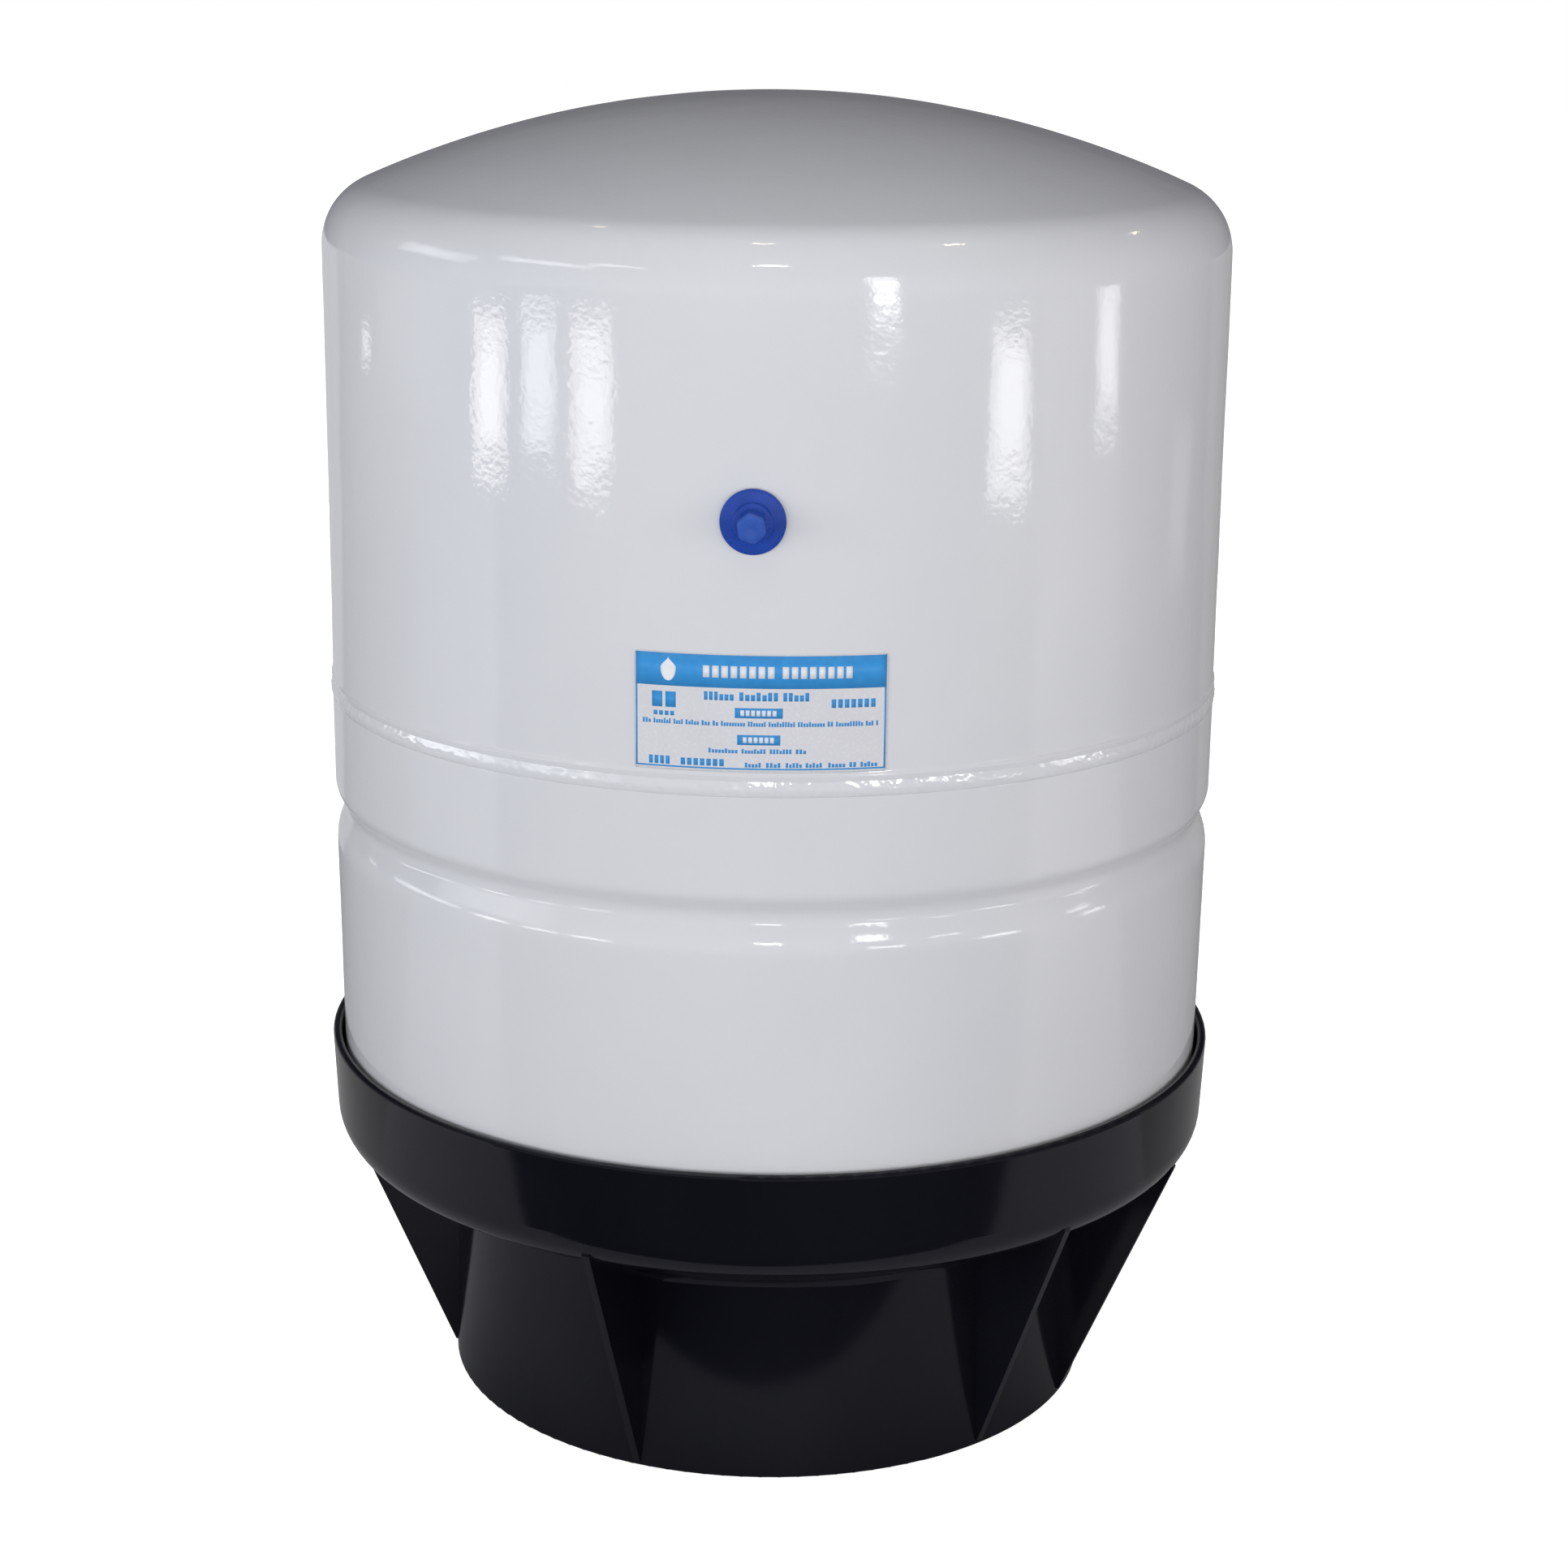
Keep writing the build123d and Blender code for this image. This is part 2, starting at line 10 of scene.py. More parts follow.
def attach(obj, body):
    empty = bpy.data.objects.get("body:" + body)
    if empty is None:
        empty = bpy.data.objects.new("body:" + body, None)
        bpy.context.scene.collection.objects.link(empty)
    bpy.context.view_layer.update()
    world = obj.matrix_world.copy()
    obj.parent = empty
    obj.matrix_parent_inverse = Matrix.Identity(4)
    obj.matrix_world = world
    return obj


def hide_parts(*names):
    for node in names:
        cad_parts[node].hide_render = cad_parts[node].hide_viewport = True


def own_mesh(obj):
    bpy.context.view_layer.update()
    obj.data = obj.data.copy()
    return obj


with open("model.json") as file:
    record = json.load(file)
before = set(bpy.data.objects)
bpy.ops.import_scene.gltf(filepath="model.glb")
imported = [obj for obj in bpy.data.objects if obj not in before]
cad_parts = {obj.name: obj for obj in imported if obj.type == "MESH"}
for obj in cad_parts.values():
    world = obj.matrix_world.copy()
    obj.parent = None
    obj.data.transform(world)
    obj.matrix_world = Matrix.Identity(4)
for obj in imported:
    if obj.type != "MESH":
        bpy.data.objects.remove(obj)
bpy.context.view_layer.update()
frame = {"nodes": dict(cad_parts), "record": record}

MM = 0.001
rng = random.Random(7)

# ---- The tank's own dimensions, in millimetres, as the CAD model has them ----
TANK_R = 178.0
SHELL_WALL = 1.5
KNUCKLE_R = 26.0
CROWN_R = 400.0
UPPER_TANGENT_Z = 468.0
LOWER_TANGENT_Z = 126.0
LOWER_R = 177.0
VALVE_Z = 390.5
PIPE_Z = 26.0
TINY = 1e-6

# Directions in the mesh code: an origin and two cross vectors; the axis is their cross product.
UPRIGHT = (Vector((0, 0, 0)), Vector((1, 0, 0)), Vector((0, 1, 0)))
AT_VALVE = (Vector((0, -TANK_R, VALVE_Z)), Vector((1, 0, 0)), Vector((0, 0, 1)))
AT_PIPE = (Vector((0, 0, PIPE_Z)), Vector((1, 0, 0)), Vector((0, 0, -1)))


# ================= Materials =================

# Noise values mostly fall between these two.
NOISE_LOW = 0.3
NOISE_HIGH = 0.7

# How far out from the tank's wall the cap's painted light starts to make the blue paler, and where
# it is palest.
PAINTED_LIGHT_START = 5.0
PAINTED_LIGHT_END = 13.6


def new_material(name, **sockets):
    """A Principled material with the given sockets set, as (material, nodes, links, shader)."""
    material = bpy.data.materials.new(name)
    material.use_nodes = True
    tree = material.node_tree
    shader = tree.nodes["Principled BSDF"]
    for socket, value in sockets.items():
        shader.inputs[socket.replace("_", " ")].default_value = value
    return material, tree.nodes, tree.links, shader


def grain(nodes, links, scale, detail=2.0, stretch=(1, 1, 1)):
    """Noise in the object's own metres; scale is in bumps per metre."""
    place = nodes.new("ShaderNodeTexCoord")
    mapping = nodes.new("ShaderNodeMapping")
    mapping.inputs["Scale"].default_value = stretch
    texture = nodes.new("ShaderNodeTexNoise")
    texture.inputs["Scale"].default_value = scale
    texture.inputs["Detail"].default_value = detail
    links.new(place.outputs["Object"], mapping.inputs["Vector"])
    links.new(mapping.outputs["Vector"], texture.inputs["Vector"])
    return texture.outputs["Fac"]


def ranged(nodes, links, source, low, high, start=NOISE_LOW, end=NOISE_HIGH):
    """A number that runs from low to high as the source runs from start to end."""
    node = nodes.new("ShaderNodeMapRange")
    node.inputs["From Min"].default_value = start
    node.inputs["From Max"].default_value = end
    node.inputs["To Min"].default_value = low
    node.inputs["To Max"].default_value = high
    links.new(source, node.inputs["Value"])
    return node.outputs["Result"]


def blended(nodes, links, source, first, second, start=NOISE_LOW, end=NOISE_HIGH):
    """A colour that runs from the first to the second as the source runs from start to end."""
    node = nodes.new("ShaderNodeMix")
    node.data_type = "RGBA"
    for socket, value in zip([s for s in node.inputs if s.type == "RGBA"], (first, second)):
        if isinstance(value, tuple):
            socket.default_value = value
        else:
            links.new(value, socket)
    factor = ranged(nodes, links, source, 0.0, 1.0, start, end)
    links.new(factor, node.inputs["Factor"])
    return next(s for s in node.outputs if s.type == "RGBA")


def bumped(nodes, links, shader, *layers):
    """Stacks bump layers, each (height, strength, distance in metres), onto a shader."""
    below = None
    for height, strength, distance in layers:
        bump = nodes.new("ShaderNodeBump")
        bump.inputs["Strength"].default_value = strength
        bump.inputs["Distance"].default_value = distance
        links.new(height, bump.inputs["Height"])
        if below:
            links.new(below, bump.inputs["Normal"])
        below = bump.outputs["Normal"]
    links.new(below, shader.inputs["Normal"])


def finish(name, first, second, patch, rough, texture, depth, **sockets):
    """A finish whose tone and roughness vary, with a fine surface texture.

    patch and texture are in bumps per metre, rough is the range, depth is in metres.
    """
    material, nodes, links, shader = new_material(name, **sockets)
    patches = grain(nodes, links, patch, 4.0)
    links.new(blended(nodes, links, patches, first, second), shader.inputs["Base Color"])
    fine = grain(nodes, links, texture, 3.0)
    links.new(ranged(nodes, links, fine, *rough), shader.inputs["Roughness"])
    bumped(nodes, links, shader, (fine, 0.5, depth))
    return material


def enamel_material():
    """Baked white enamel on pressed steel: orange peel, drawing marks, a few specks of dust."""
    material, nodes, links, shader = new_material("white_enamel", IOR=1.5, Coat_Weight=0.0)
    tone = grain(nodes, links, 9.0, 5.0)
    white = blended(nodes, links, tone, (0.70, 0.707, 0.733, 1), (0.735, 0.739, 0.758, 1))
    speck = grain(nodes, links, 900.0, 2.0)
    soiled = blended(nodes, links, speck, (0.45, 0.44, 0.42, 1), white, 0.155, 0.19)
    links.new(soiled, shader.inputs["Base Color"])
    peel = grain(nodes, links, 420.0, 1.0)
    drawn = grain(nodes, links, 160.0, 3.0, (1, 1, 9))
    waves = grain(nodes, links, 60.0, 2.0)
    links.new(ranged(nodes, links, tone, 0.055, 0.080), shader.inputs["Roughness"])
    bumped(
        nodes, links, shader,
        (waves, 0.35, 0.00012), (drawn, 0.08, 0.00002), (peel, 0.75, 0.00005),
    )
    return material


def stand_material():
    """Near-black moulded polypropylene: flow marks, slight sinks, a fine skin, specks of dust."""
    material, nodes, links, shader = new_material("black_plastic", IOR=1.45)
    shader.inputs["Specular IOR Level"].default_value = 0.42
    flow = grain(nodes, links, 14.0, 5.0, (1, 1, 0.35))
    tone = blended(nodes, links, flow, (0.0046, 0.0049, 0.0078, 1), (0.0078, 0.0081, 0.0122, 1))
    dust = grain(nodes, links, 420.0, 2.0)
    links.new(
        blended(nodes, links, dust, (0.06, 0.055, 0.055, 1), tone, 0.13, 0.16),
        shader.inputs["Base Color"],
    )
    links.new(ranged(nodes, links, flow, 0.10, 0.15), shader.inputs["Roughness"])
    fine = grain(nodes, links, 600.0, 3.0)
    sink = grain(nodes, links, 22.0, 2.0)
    bumped(nodes, links, shader, (sink, 0.20, 0.0003), (fine, 0.22, 0.00002))
    return material


def turned_metal(name, first, second, rough, axis_stretch):
    """Machined metal with turning lines across the stretched direction."""
    material, nodes, links, shader = new_material(name, Metallic=1.0)
    patches = grain(nodes, links, 120.0, 4.0)
    links.new(blended(nodes, links, patches, first, second), shader.inputs["Base Color"])
    lines = grain(nodes, links, 300.0, 4.0, axis_stretch)
    links.new(ranged(nodes, links, lines, *rough), shader.inputs["Roughness"])
    bumped(nodes, links, shader, (lines, 0.3, 0.00003))
    return material


def cap_material():
    """Dyed moulded plastic, deep blue in the flange, with painted light that makes it paler towards
    the hexagon's end.
    """
    material, nodes, links, shader = new_material(
        "blue_plastic", IOR=1.49, Subsurface_Weight=0.06,
        Subsurface_Radius=(0.0006, 0.0008, 0.0016), Subsurface_Scale=1.0,
    )
    cloud = grain(nodes, links, 160.0, 4.0)
    deep = blended(nodes, links, cloud, (0.010, 0.050, 0.33, 1), (0.016, 0.070, 0.42, 1))
    painted_lit_blue = blended(nodes, links, cloud, (0.020, 0.080, 0.40, 1), (0.033, 0.108, 0.47, 1))
    place = nodes.new("ShaderNodeTexCoord")
    split = nodes.new("ShaderNodeSeparateXYZ")
    links.new(place.outputs["Object"], split.inputs["Vector"])
    far = -(TANK_R + PAINTED_LIGHT_END) * MM
    near = -(TANK_R + PAINTED_LIGHT_START) * MM
    # Painted light: the blue turns paler towards the hexagon's end, as if that end were lit.
    links.new(
        blended(nodes, links, split.outputs["Y"], painted_lit_blue, deep, far, near),
        shader.inputs["Base Color"],
    )
    skin = grain(nodes, links, 1300.0, 3.0)
    links.new(ranged(nodes, links, skin, 0.26, 0.36), shader.inputs["Roughness"])
    bumped(nodes, links, shader, (skin, 0.5, 0.00002))
    return material


def print_material(name, first, second):
    """Screen-printed ink, slightly thinner in places."""
    return finish(name, first, second, 260.0, (0.30, 0.42), 1500.0, 0.000004, IOR=1.45)


ENAMEL = enamel_material()
STAND = stand_material()
FILM = finish(
    "label_film", (0.685, 0.685, 0.71, 1), (0.71, 0.71, 0.73, 1),
    70.0, (0.22, 0.30), 900.0, 0.00001, IOR=1.46,
)
BLUE_INK = print_material("blue_ink", (0.038, 0.285, 0.67, 1), (0.048, 0.325, 0.73, 1))
WHITE_INK = print_material("white_ink", (0.80, 0.82, 0.86, 1), (0.86, 0.88, 0.90, 1))
BLUE_PLASTIC = cap_material()
LINER = finish(
    "liner_plastic", (0.58, 0.62, 0.66, 1), (0.66, 0.69, 0.71, 1),
    30.0, (0.35, 0.50), 500.0, 0.00004,
)
BUTYL = finish(
    "butyl_rubber", (0.010, 0.010, 0.011, 1), (0.022, 0.021, 0.021, 1),
    45.0, (0.55, 0.75), 800.0, 0.00008,
)
SEAL = finish(
    "seal_rubber", (0.012, 0.012, 0.013, 1), (0.030, 0.029, 0.028, 1),
    200.0, (0.50, 0.70), 1500.0, 0.00004,
)
ZINC = finish(
    "zinc_steel", (0.42, 0.43, 0.45, 1), (0.60, 0.60, 0.60, 1),
    90.0, (0.28, 0.48), 450.0, 0.00005, Metallic=1.0,
)
STAINLESS = turned_metal(
    "stainless_steel", (0.50, 0.50, 0.51, 1), (0.60, 0.595, 0.585, 1), (0.18, 0.34), (1, 6, 1)
)
BRASS = turned_metal(
    "valve_brass", (0.62, 0.41, 0.14, 1), (0.74, 0.53, 0.22, 1), (0.20, 0.38), (1, 12, 1)
)
SLEEVE = finish(
    "core_sleeve", (0.60, 0.045, 0.030, 1), (0.70, 0.065, 0.040, 1),
    600.0, (0.32, 0.45), 2500.0, 0.00001,
)
SPRING = turned_metal(
    "spring_steel", (0.42, 0.42, 0.43, 1), (0.52, 0.52, 0.52, 1), (0.20, 0.32), (1, 1, 1)
)

SLOT_FINISH = {
    "white_enamel": ENAMEL, "black_plastic": STAND, "label_film": FILM,
    "liner_plastic": LINER, "butyl_rubber": BUTYL, "zinc_steel": ZINC,
    "seal_rubber": SEAL, "stainless_steel": STAINLESS, "valve_brass": BRASS,
    "core_sleeve": SLEEVE, "spring_steel": SPRING, "blue_plastic": BLUE_PLASTIC,
}


# ================= Mesh code =================

def add_piece(name, points, faces, material, body, slot, *nodes):
    """Makes a smooth piece from points in millimetres and rides it on a body.

    nodes are the CAD nodes that it stands for.
    """
    mesh = bpy.data.meshes.new(name)
    mesh.from_pydata([tuple(c * MM for c in p) for p in points], [], faces)
    mesh.polygons.foreach_set("use_smooth", [True] * len(mesh.polygons))
    mesh.materials.append(material)
    solid = bmesh.new()
    solid.from_mesh(mesh)
    bmesh.ops.recalc_face_normals(solid, faces=solid.faces)
    solid.to_mesh(mesh)
    solid.free()
    piece = bpy.data.objects.new(name, mesh)
    bpy.context.scene.collection.objects.link(piece)
    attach(piece, body)
    if nodes:
        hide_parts(*nodes)
    return piece


def arc(centre, radius, start, end, count):
    """Points on an arc in a profile, angles in degrees."""
    turns = [math.radians(start + (end - start) * i / count) for i in range(count + 1)]
    return [(centre[0] + radius * math.cos(t), centre[1] + radius * math.sin(t)) for t in turns]


ARC_STEP = 6  # degrees between points on a rounded corner


def rounded(corners, radii, step):
    """A line through corners with its inner corners rounded, straight runs cut to about a step."""
    line = [Vector(corners[0])]
    for before, corner, after, radius in zip(corners, corners[1:], corners[2:], radii):
        before, corner, after = Vector(before), Vector(corner), Vector(after)
        back, ahead = (before - corner).normalized(), (after - corner).normalized()
        half = back.angle(ahead) / 2
        if radius <= 0 or half > math.pi / 2 - 1e-4:
            line.append(corner)
            continue
        reach = radius / math.tan(half)
        centre = corner + (back + ahead).normalized() * (radius / math.sin(half))
        start, end = corner + back * reach, corner + ahead * reach
        first, last = start - centre, end - centre
        sweep = math.pi - 2 * half
        turn_way = 1 if first.x * last.y - first.y * last.x > 0 else -1
        count = max(3, int(math.degrees(sweep) / ARC_STEP))
        for i in range(count + 1):
            t = turn_way * sweep * i / count
            line.append(centre + Matrix.Rotation(t, 2) @ first)
    line.append(Vector(corners[-1]))
    fine = []
    for a, b in zip(line, line[1:]):
        pieces = max(1, round((b - a).length / step))
        fine += [tuple(a.lerp(b, i / pieces)) for i in range(pieces)]
    return fine + [tuple(line[-1])]


def shifted(corners, distance):
    """The corners of a line that runs beside another one, at a distance to its right."""
    corners = [Vector(c) for c in corners]
    rights = []
    for a, b in zip(corners, corners[1:]):
        way = (b - a).normalized()
        rights.append(Vector((way.y, -way.x)))
    moved = [corners[0] + rights[0] * distance]
    for corner, r1, r2 in zip(corners[1:], rights, rights[1:]):
        middle = (r1 + r2).normalized()
        moved.append(corner + middle * (distance / middle.dot(r1)))
    moved.append(corners[-1] + rights[-1] * distance)
    return [tuple(c) for c in moved]


def turned(rings, around, segments, closed=False):
    """Points and faces of rings (radius, distance along the axis) turned about an axis.

    A radius may be a function of the angle, and a radius of 0 is a point on the axis.
    """
    origin, u, v = around
    w = u.cross(v)
    points, loops = [], []
    for radius, along in rings:
        if not callable(radius) and radius < TINY:
            loops.append([len(points)])
            points.append(origin + w * along)
            continue
        loops.append(list(range(len(points), len(points) + segments)))
        for i in range(segments):
            t = 2 * math.pi * i / segments
            r = radius(t) if callable(radius) else radius
            points.append(origin + (u * math.cos(t) + v * math.sin(t)) * r + w * along)
    if closed:
        loops.append(loops[0])
    faces = []
    for a, b in zip(loops, loops[1:]):
        for i in range(segments):
            j = (i + 1) % segments
            if len(a) == 1:
                faces.append((a[0], b[j], b[i]))
            elif len(b) == 1:
                faces.append((a[i], a[j], b[0]))
            else:
                faces.append((a[i], a[j], b[j], b[i]))
    return points, faces


def smoothstep(x, low, high):
    """0 up to low, 1 from high on, and a smooth rise between."""
    t = min(1.0, max(0.0, (x - low) / (high - low)))
    return t * t * (3 - 2 * t)


RIPPLE_SIZE = 46.0
FINE_SHARE = 0.4  # height of the finer ripples, as a share of the broad ones
FINE_SCALE = 0.35  # and their size
HEAD_LEAN = 3  # how fast the press direction turns upright beyond a head's tangent line


def ripple(point, depth):
    """How far pressed sheet falls short of its true surface at a point: 0 to depth."""
    broad = noise.noise(Vector(point) / RIPPLE_SIZE)
    fine = noise.noise(Vector(point) / (RIPPLE_SIZE * FINE_SCALE))
    value = broad + FINE_SHARE * fine
    return depth * (0.5 + 0.5 * max(-1.0, min(1.0, value)))


def head_rise(radius):
    """Height from a head's crown centre to the knuckle's centre, for a wall of this radius."""
    return math.sqrt((CROWN_R - KNUCKLE_R) ** 2 - (radius - KNUCKLE_R) ** 2)


def head_turn(radius):
    """Angle in degrees at which the crown meets the knuckle."""
    return math.degrees(math.atan2(head_rise(radius), radius - KNUCKLE_R))


def press(points, outer_count, depth, mask):
    """Lets the outer face of a shell sink by its ripples, as far as the mask lets it."""
    pressed = []
    for i, point in enumerate(points):
        if i < outer_count:
            out = Vector((point.x, point.y, 0))
            if point.z > UPPER_TANGENT_Z:
                out.z = (point.z - UPPER_TANGENT_Z) * HEAD_LEAN
            if point.z < LOWER_TANGENT_Z:
                out.z = (point.z - LOWER_TANGENT_Z) * HEAD_LEAN
            if out.length > TINY:
                out.normalize()
            else:
                out = Vector((0, 0, 1 if point.z > LOWER_TANGENT_Z else -1))
            point = point - out * (ripple(point, depth) * mask(point))
        pressed.append(point)
    return pressed


# ================= Upper shell =================

SEGMENTS = 384
UPPER_RIPPLE = 0.30
LIP_CLEAR = (304, 330)  # heights between which the ripples fade in above the lip
VALVE_CLEAR = (14, 40)  # distances between which they grow to full depth around the valve
VALVE_CALM = 0.25  # their share right beside the valve
BUSH_HOLE = 6.05
HOLE_WINDOW = 11.0
HOLE_RINGS = 8
OUTER_FACE = (177.2, 179.0)  # radii that hold the wall's outer face
INNER_FACE = (176.0, 177.2)  # and its inner face

upper_turn = head_turn(TANK_R)
crown_centre = (0.0, UPPER_TANGENT_Z - head_rise(TANK_R))
knuckle_centre = (TANK_R - KNUCKLE_R, UPPER_TANGENT_Z)

outer = arc(crown_centre, CROWN_R, 90, upper_turn, 54)[:-1]
outer[0] = (0.0, outer[0][1])
outer += arc(knuckle_centre, KNUCKLE_R, upper_turn, 0, 24)[:-1]
# The straight wall, then the lip: out over the seam, down to its edge and up again inside
wall_corners = [(TANK_R, UPPER_TANGENT_Z), (TANK_R, 299.9), (TANK_R + 0.62, 298.6),
                (TANK_R + 0.1, 296.4), (TANK_R - SHELL_WALL + 0.1, 296.4),
                (TANK_R - SHELL_WALL + 0.1, 297.6)]
outer += rounded(wall_corners, [1.6, 0.8, 0.35, 0.3], 3.0)
inner_wall = [(TANK_R - SHELL_WALL + 0.55, 299.2), (TANK_R - SHELL_WALL + 0.3, 301.0)]
inner_wall += [(r - SHELL_WALL, z) for r, z in reversed(outer)
               if abs(r - TANK_R) < 1e-3 and z < UPPER_TANGENT_Z]
inner = inner_wall + arc(knuckle_centre, KNUCKLE_R - SHELL_WALL, 0, upper_turn, 10)
inner += arc(crown_centre, CROWN_R - SHELL_WALL, upper_turn, 90, 14)[1:]
inner[-1] = (0.0, inner[-1][1])

points, faces = turned(outer + inner, UPRIGHT, SEGMENTS)
outer_points = 1 + (len(outer) - 1) * SEGMENTS


def upper_mask(p):
    """Ripples fade out towards the lip, the label and the valve."""
    above_lip = smoothstep(p.z, *LIP_CLEAR)
    if p.y >= 0:
        return above_lip
    at_valve = math.hypot(p.x, p.z - VALVE_Z)
    return above_lip * (VALVE_CALM + (1 - VALVE_CALM) * smoothstep(at_valve, *VALVE_CLEAR))


def rim_loop(points, cut, low, high):
    """The border, in order, of the cut faces that lie between two radii."""
    edges = {}
    for face in cut:
        if low < Vector(points[face[0]].xy).length < high:
            for a, b in zip(face, face[1:] + face[:1]):
                edges[(a, b)] = True
    border = {a: b for a, b in edges if (b, a) not in edges}
    start = next(iter(border))
    loop = [start]
    while border[loop[-1]] != start:
        loop.append(border[loop[-1]])
    return loop


def rings_to_hole(points, faces, loop, centre_z, hole):
    """Adds rings that run from a loop in to a round hole at x = 0, and returns the last one."""
    depth = sum(Vector(points[i].xy).length for i in loop) / len(loop)
    ring_before = loop
    for step in range(1, HOLE_RINGS + 1):
        ring = []
        for index in loop:
            p = points[index]
            turn = math.atan2(p.z - centre_z, p.x)
            far = math.hypot(p.z - centre_z, p.x)
            r = far + (hole - far) * step / HOLE_RINGS
            x, z = r * math.cos(turn), centre_z + r * math.sin(turn)
            own = Vector(p.xy).length
            at = own + (depth - own) * step / HOLE_RINGS
            ring.append(len(points))
            points.append(Vector((x, -math.sqrt(at * at - x * x), z)))
        for i in range(len(ring)):
            j = (i + 1) % len(ring)
            faces.append((ring_before[i], ring_before[j], ring[j], ring[i]))
        ring_before = ring
    return ring_before


def with_hole(points, faces, centre_z, window, hole):
    """Cuts a round hole through the front wall at x = 0.

    A window of faces gives way to rings that end on the hole.
    """
    def in_window(index):
        p = points[index]
        return p.y < 0 and abs(p.x) < window and abs(p.z - centre_z) < window

    kept, cut = [], []
    for face in faces:
        (cut if all(in_window(i) for i in face) else kept).append(face)
    rims = [rim_loop(points, cut, low, high) for low, high in (OUTER_FACE, INNER_FACE)]
    points = list(points)
    first, second = (rings_to_hole(points, kept, loop, centre_z, hole) for loop in rims)
    # The two end rings are joined through the wall; the second runs the other way round.
    second = second[::-1]
    nearest = min(range(len(second)), key=lambda k: (points[second[k]] - points[first[0]]).length)
    second = second[nearest:] + second[:nearest]
    for i in range(len(first)):
        j = (i + 1) % len(first)
        kept.append((first[i], first[j], second[j], second[i]))
    return points, kept


points = press(points, outer_points, UPPER_RIPPLE, upper_mask)
points, faces = with_hole(points, faces, VALVE_Z, HOLE_WINDOW, BUSH_HOLE)
upper = add_piece("enamel_upper", points, faces, ENAMEL, "tank", "white_enamel", "upper_shell")

# ================= Lower shell =================

LOWER_RIPPLE = 0.22
LAP_CLEAR = (276, 288)  # heights between which the ripples fade out below the lap
FOOT_CLEAR = (70, 110)  # and fade in above the bottom
SUMP_R = 46.0

# Down the lap, the step, the rolled groove and the tapering wall
lower_corners = [(176.4, 306.0), (176.4, 292.8), (178.2, 291.0), (178.2, 252.6), (173.2, 245.0),
                 (178.0, 233.5), (177.0, 150.0), (177.0, 126.0)]
lower_radii = [1.2, 1.5, 8, 7, 18, 60]
lower_turn = head_turn(LOWER_R)
lower_crown = (0.0, LOWER_TANGENT_Z + head_rise(LOWER_R))
lower_knuckle = (LOWER_R - KNUCKLE_R, LOWER_TANGENT_Z)
sump_turn = -90 + math.degrees(math.asin(SUMP_R / CROWN_R))
sump_top_z = lower_crown[1] - math.sqrt(CROWN_R ** 2 - SUMP_R ** 2)
sump_corners = [(SUMP_R, sump_top_z), (39.0, 62.0), (17.0, 62.0)]

outer = rounded(lower_corners, lower_radii, 2.6)[:-1]
outer += arc(lower_knuckle, KNUCKLE_R, 0, -lower_turn, 18)[:-1]
outer += arc(lower_crown, CROWN_R, -lower_turn, sump_turn, 36)[:-1]
outer += rounded(sump_corners, [4], 3.0)

inner_corners = shifted(lower_corners, SHELL_WALL)
inner_sump = shifted(sump_corners, SHELL_WALL)
inner_sump[0] = (SUMP_R - 1.0, sump_top_z + 1.42)
inner = rounded(inner_corners, [0, 0.2, 6.5, 8.5, 16.5, 58.5], 8.0)[:-1]
inner += arc(lower_knuckle, KNUCKLE_R - SHELL_WALL, 0, -lower_turn, 8)[:-1]
inner += arc(lower_crown, CROWN_R - SHELL_WALL, -lower_turn, sump_turn, 14)[:-1]
inner += rounded(inner_sump, [2.5], 6.0)
points, faces = turned(outer + inner[::-1], UPRIGHT, SEGMENTS, closed=True)


def lower_mask(p):
    """Ripples stay off the lap and the bottom."""
    return smoothstep(-p.z, -LAP_CLEAR[1], -LAP_CLEAR[0]) * smoothstep(p.z, *FOOT_CLEAR)


points = press(points, len(outer) * SEGMENTS, LOWER_RIPPLE, lower_mask)
lower = add_piece("enamel_lower", points, faces, ENAMEL, "tank", "white_enamel", "lower_shell")

# ================= Seam bead =================

BEAD_SEGMENTS = 1200
BEAD_LUMPS = ((2.0, 1.4, 0.20), (7.0, 1.0, 0.10))  # size, squeeze along the height, and depth
LUMPY_RINGS = (4, 13)  # the outline's points that are on the outside

bead_outline = [(176.6, 292.9), (176.6, 296.2), (177.6, 296.2), (177.9, 297.2), (178.08, 296.6),
                (178.26, 296.0), (178.43, 295.4), (178.59, 294.8), (178.73, 294.2), (178.81, 293.6),
                (178.79, 292.9), (178.66, 292.1), (178.50, 291.4), (178.25, 290.8), (177.9, 290.5),
                (177.4, 291.2)]
points, faces = turned(bead_outline, UPRIGHT, BEAD_SEGMENTS, closed=True)
for i in range(LUMPY_RINGS[0] * BEAD_SEGMENTS, LUMPY_RINGS[1] * BEAD_SEGMENTS):
    p = points[i]
    lump = sum(noise.noise(Vector((p.x, p.y, p.z * squeeze)) / size) * depth
               for size, squeeze, depth in BEAD_LUMPS)
    points[i] = p + Vector((p.x, p.y, 0)).normalized() * lump
seam = add_piece("seam_bead", points, faces, ENAMEL, "tank", "white_enamel", "seam_weld")

# ================= Label =================

LABEL_START = -13.6
LABEL_END = 15.6
LABEL_TOP = 343.0
LABEL_BOTTOM = 300.0
LABEL_R = TANK_R + 0.05
FILM_T = 0.15
FILM_CORNER = 0.6
FILM_ROWS = 43
FILM_COLUMNS = 64
INK = 0.012
INK_SUNK = 0.01  # how far the blue ink reaches into the film
BAR_STEP = 2.5  # width of a printed bar's columns, at most
LABEL_W = math.radians(LABEL_END - LABEL_START) * LABEL_R
LABEL_H = LABEL_TOP - LABEL_BOTTOM


def on_label(x, y, lift):
    """A point on the label, x and y in millimetres from its top left corner, lifted off it."""
    angle = math.radians(LABEL_START) + x / LABEL_R
    z = LABEL_TOP - y
    r = LABEL_R + FILM_T + lift
    return Vector((r * math.sin(angle), -r * math.cos(angle), z))


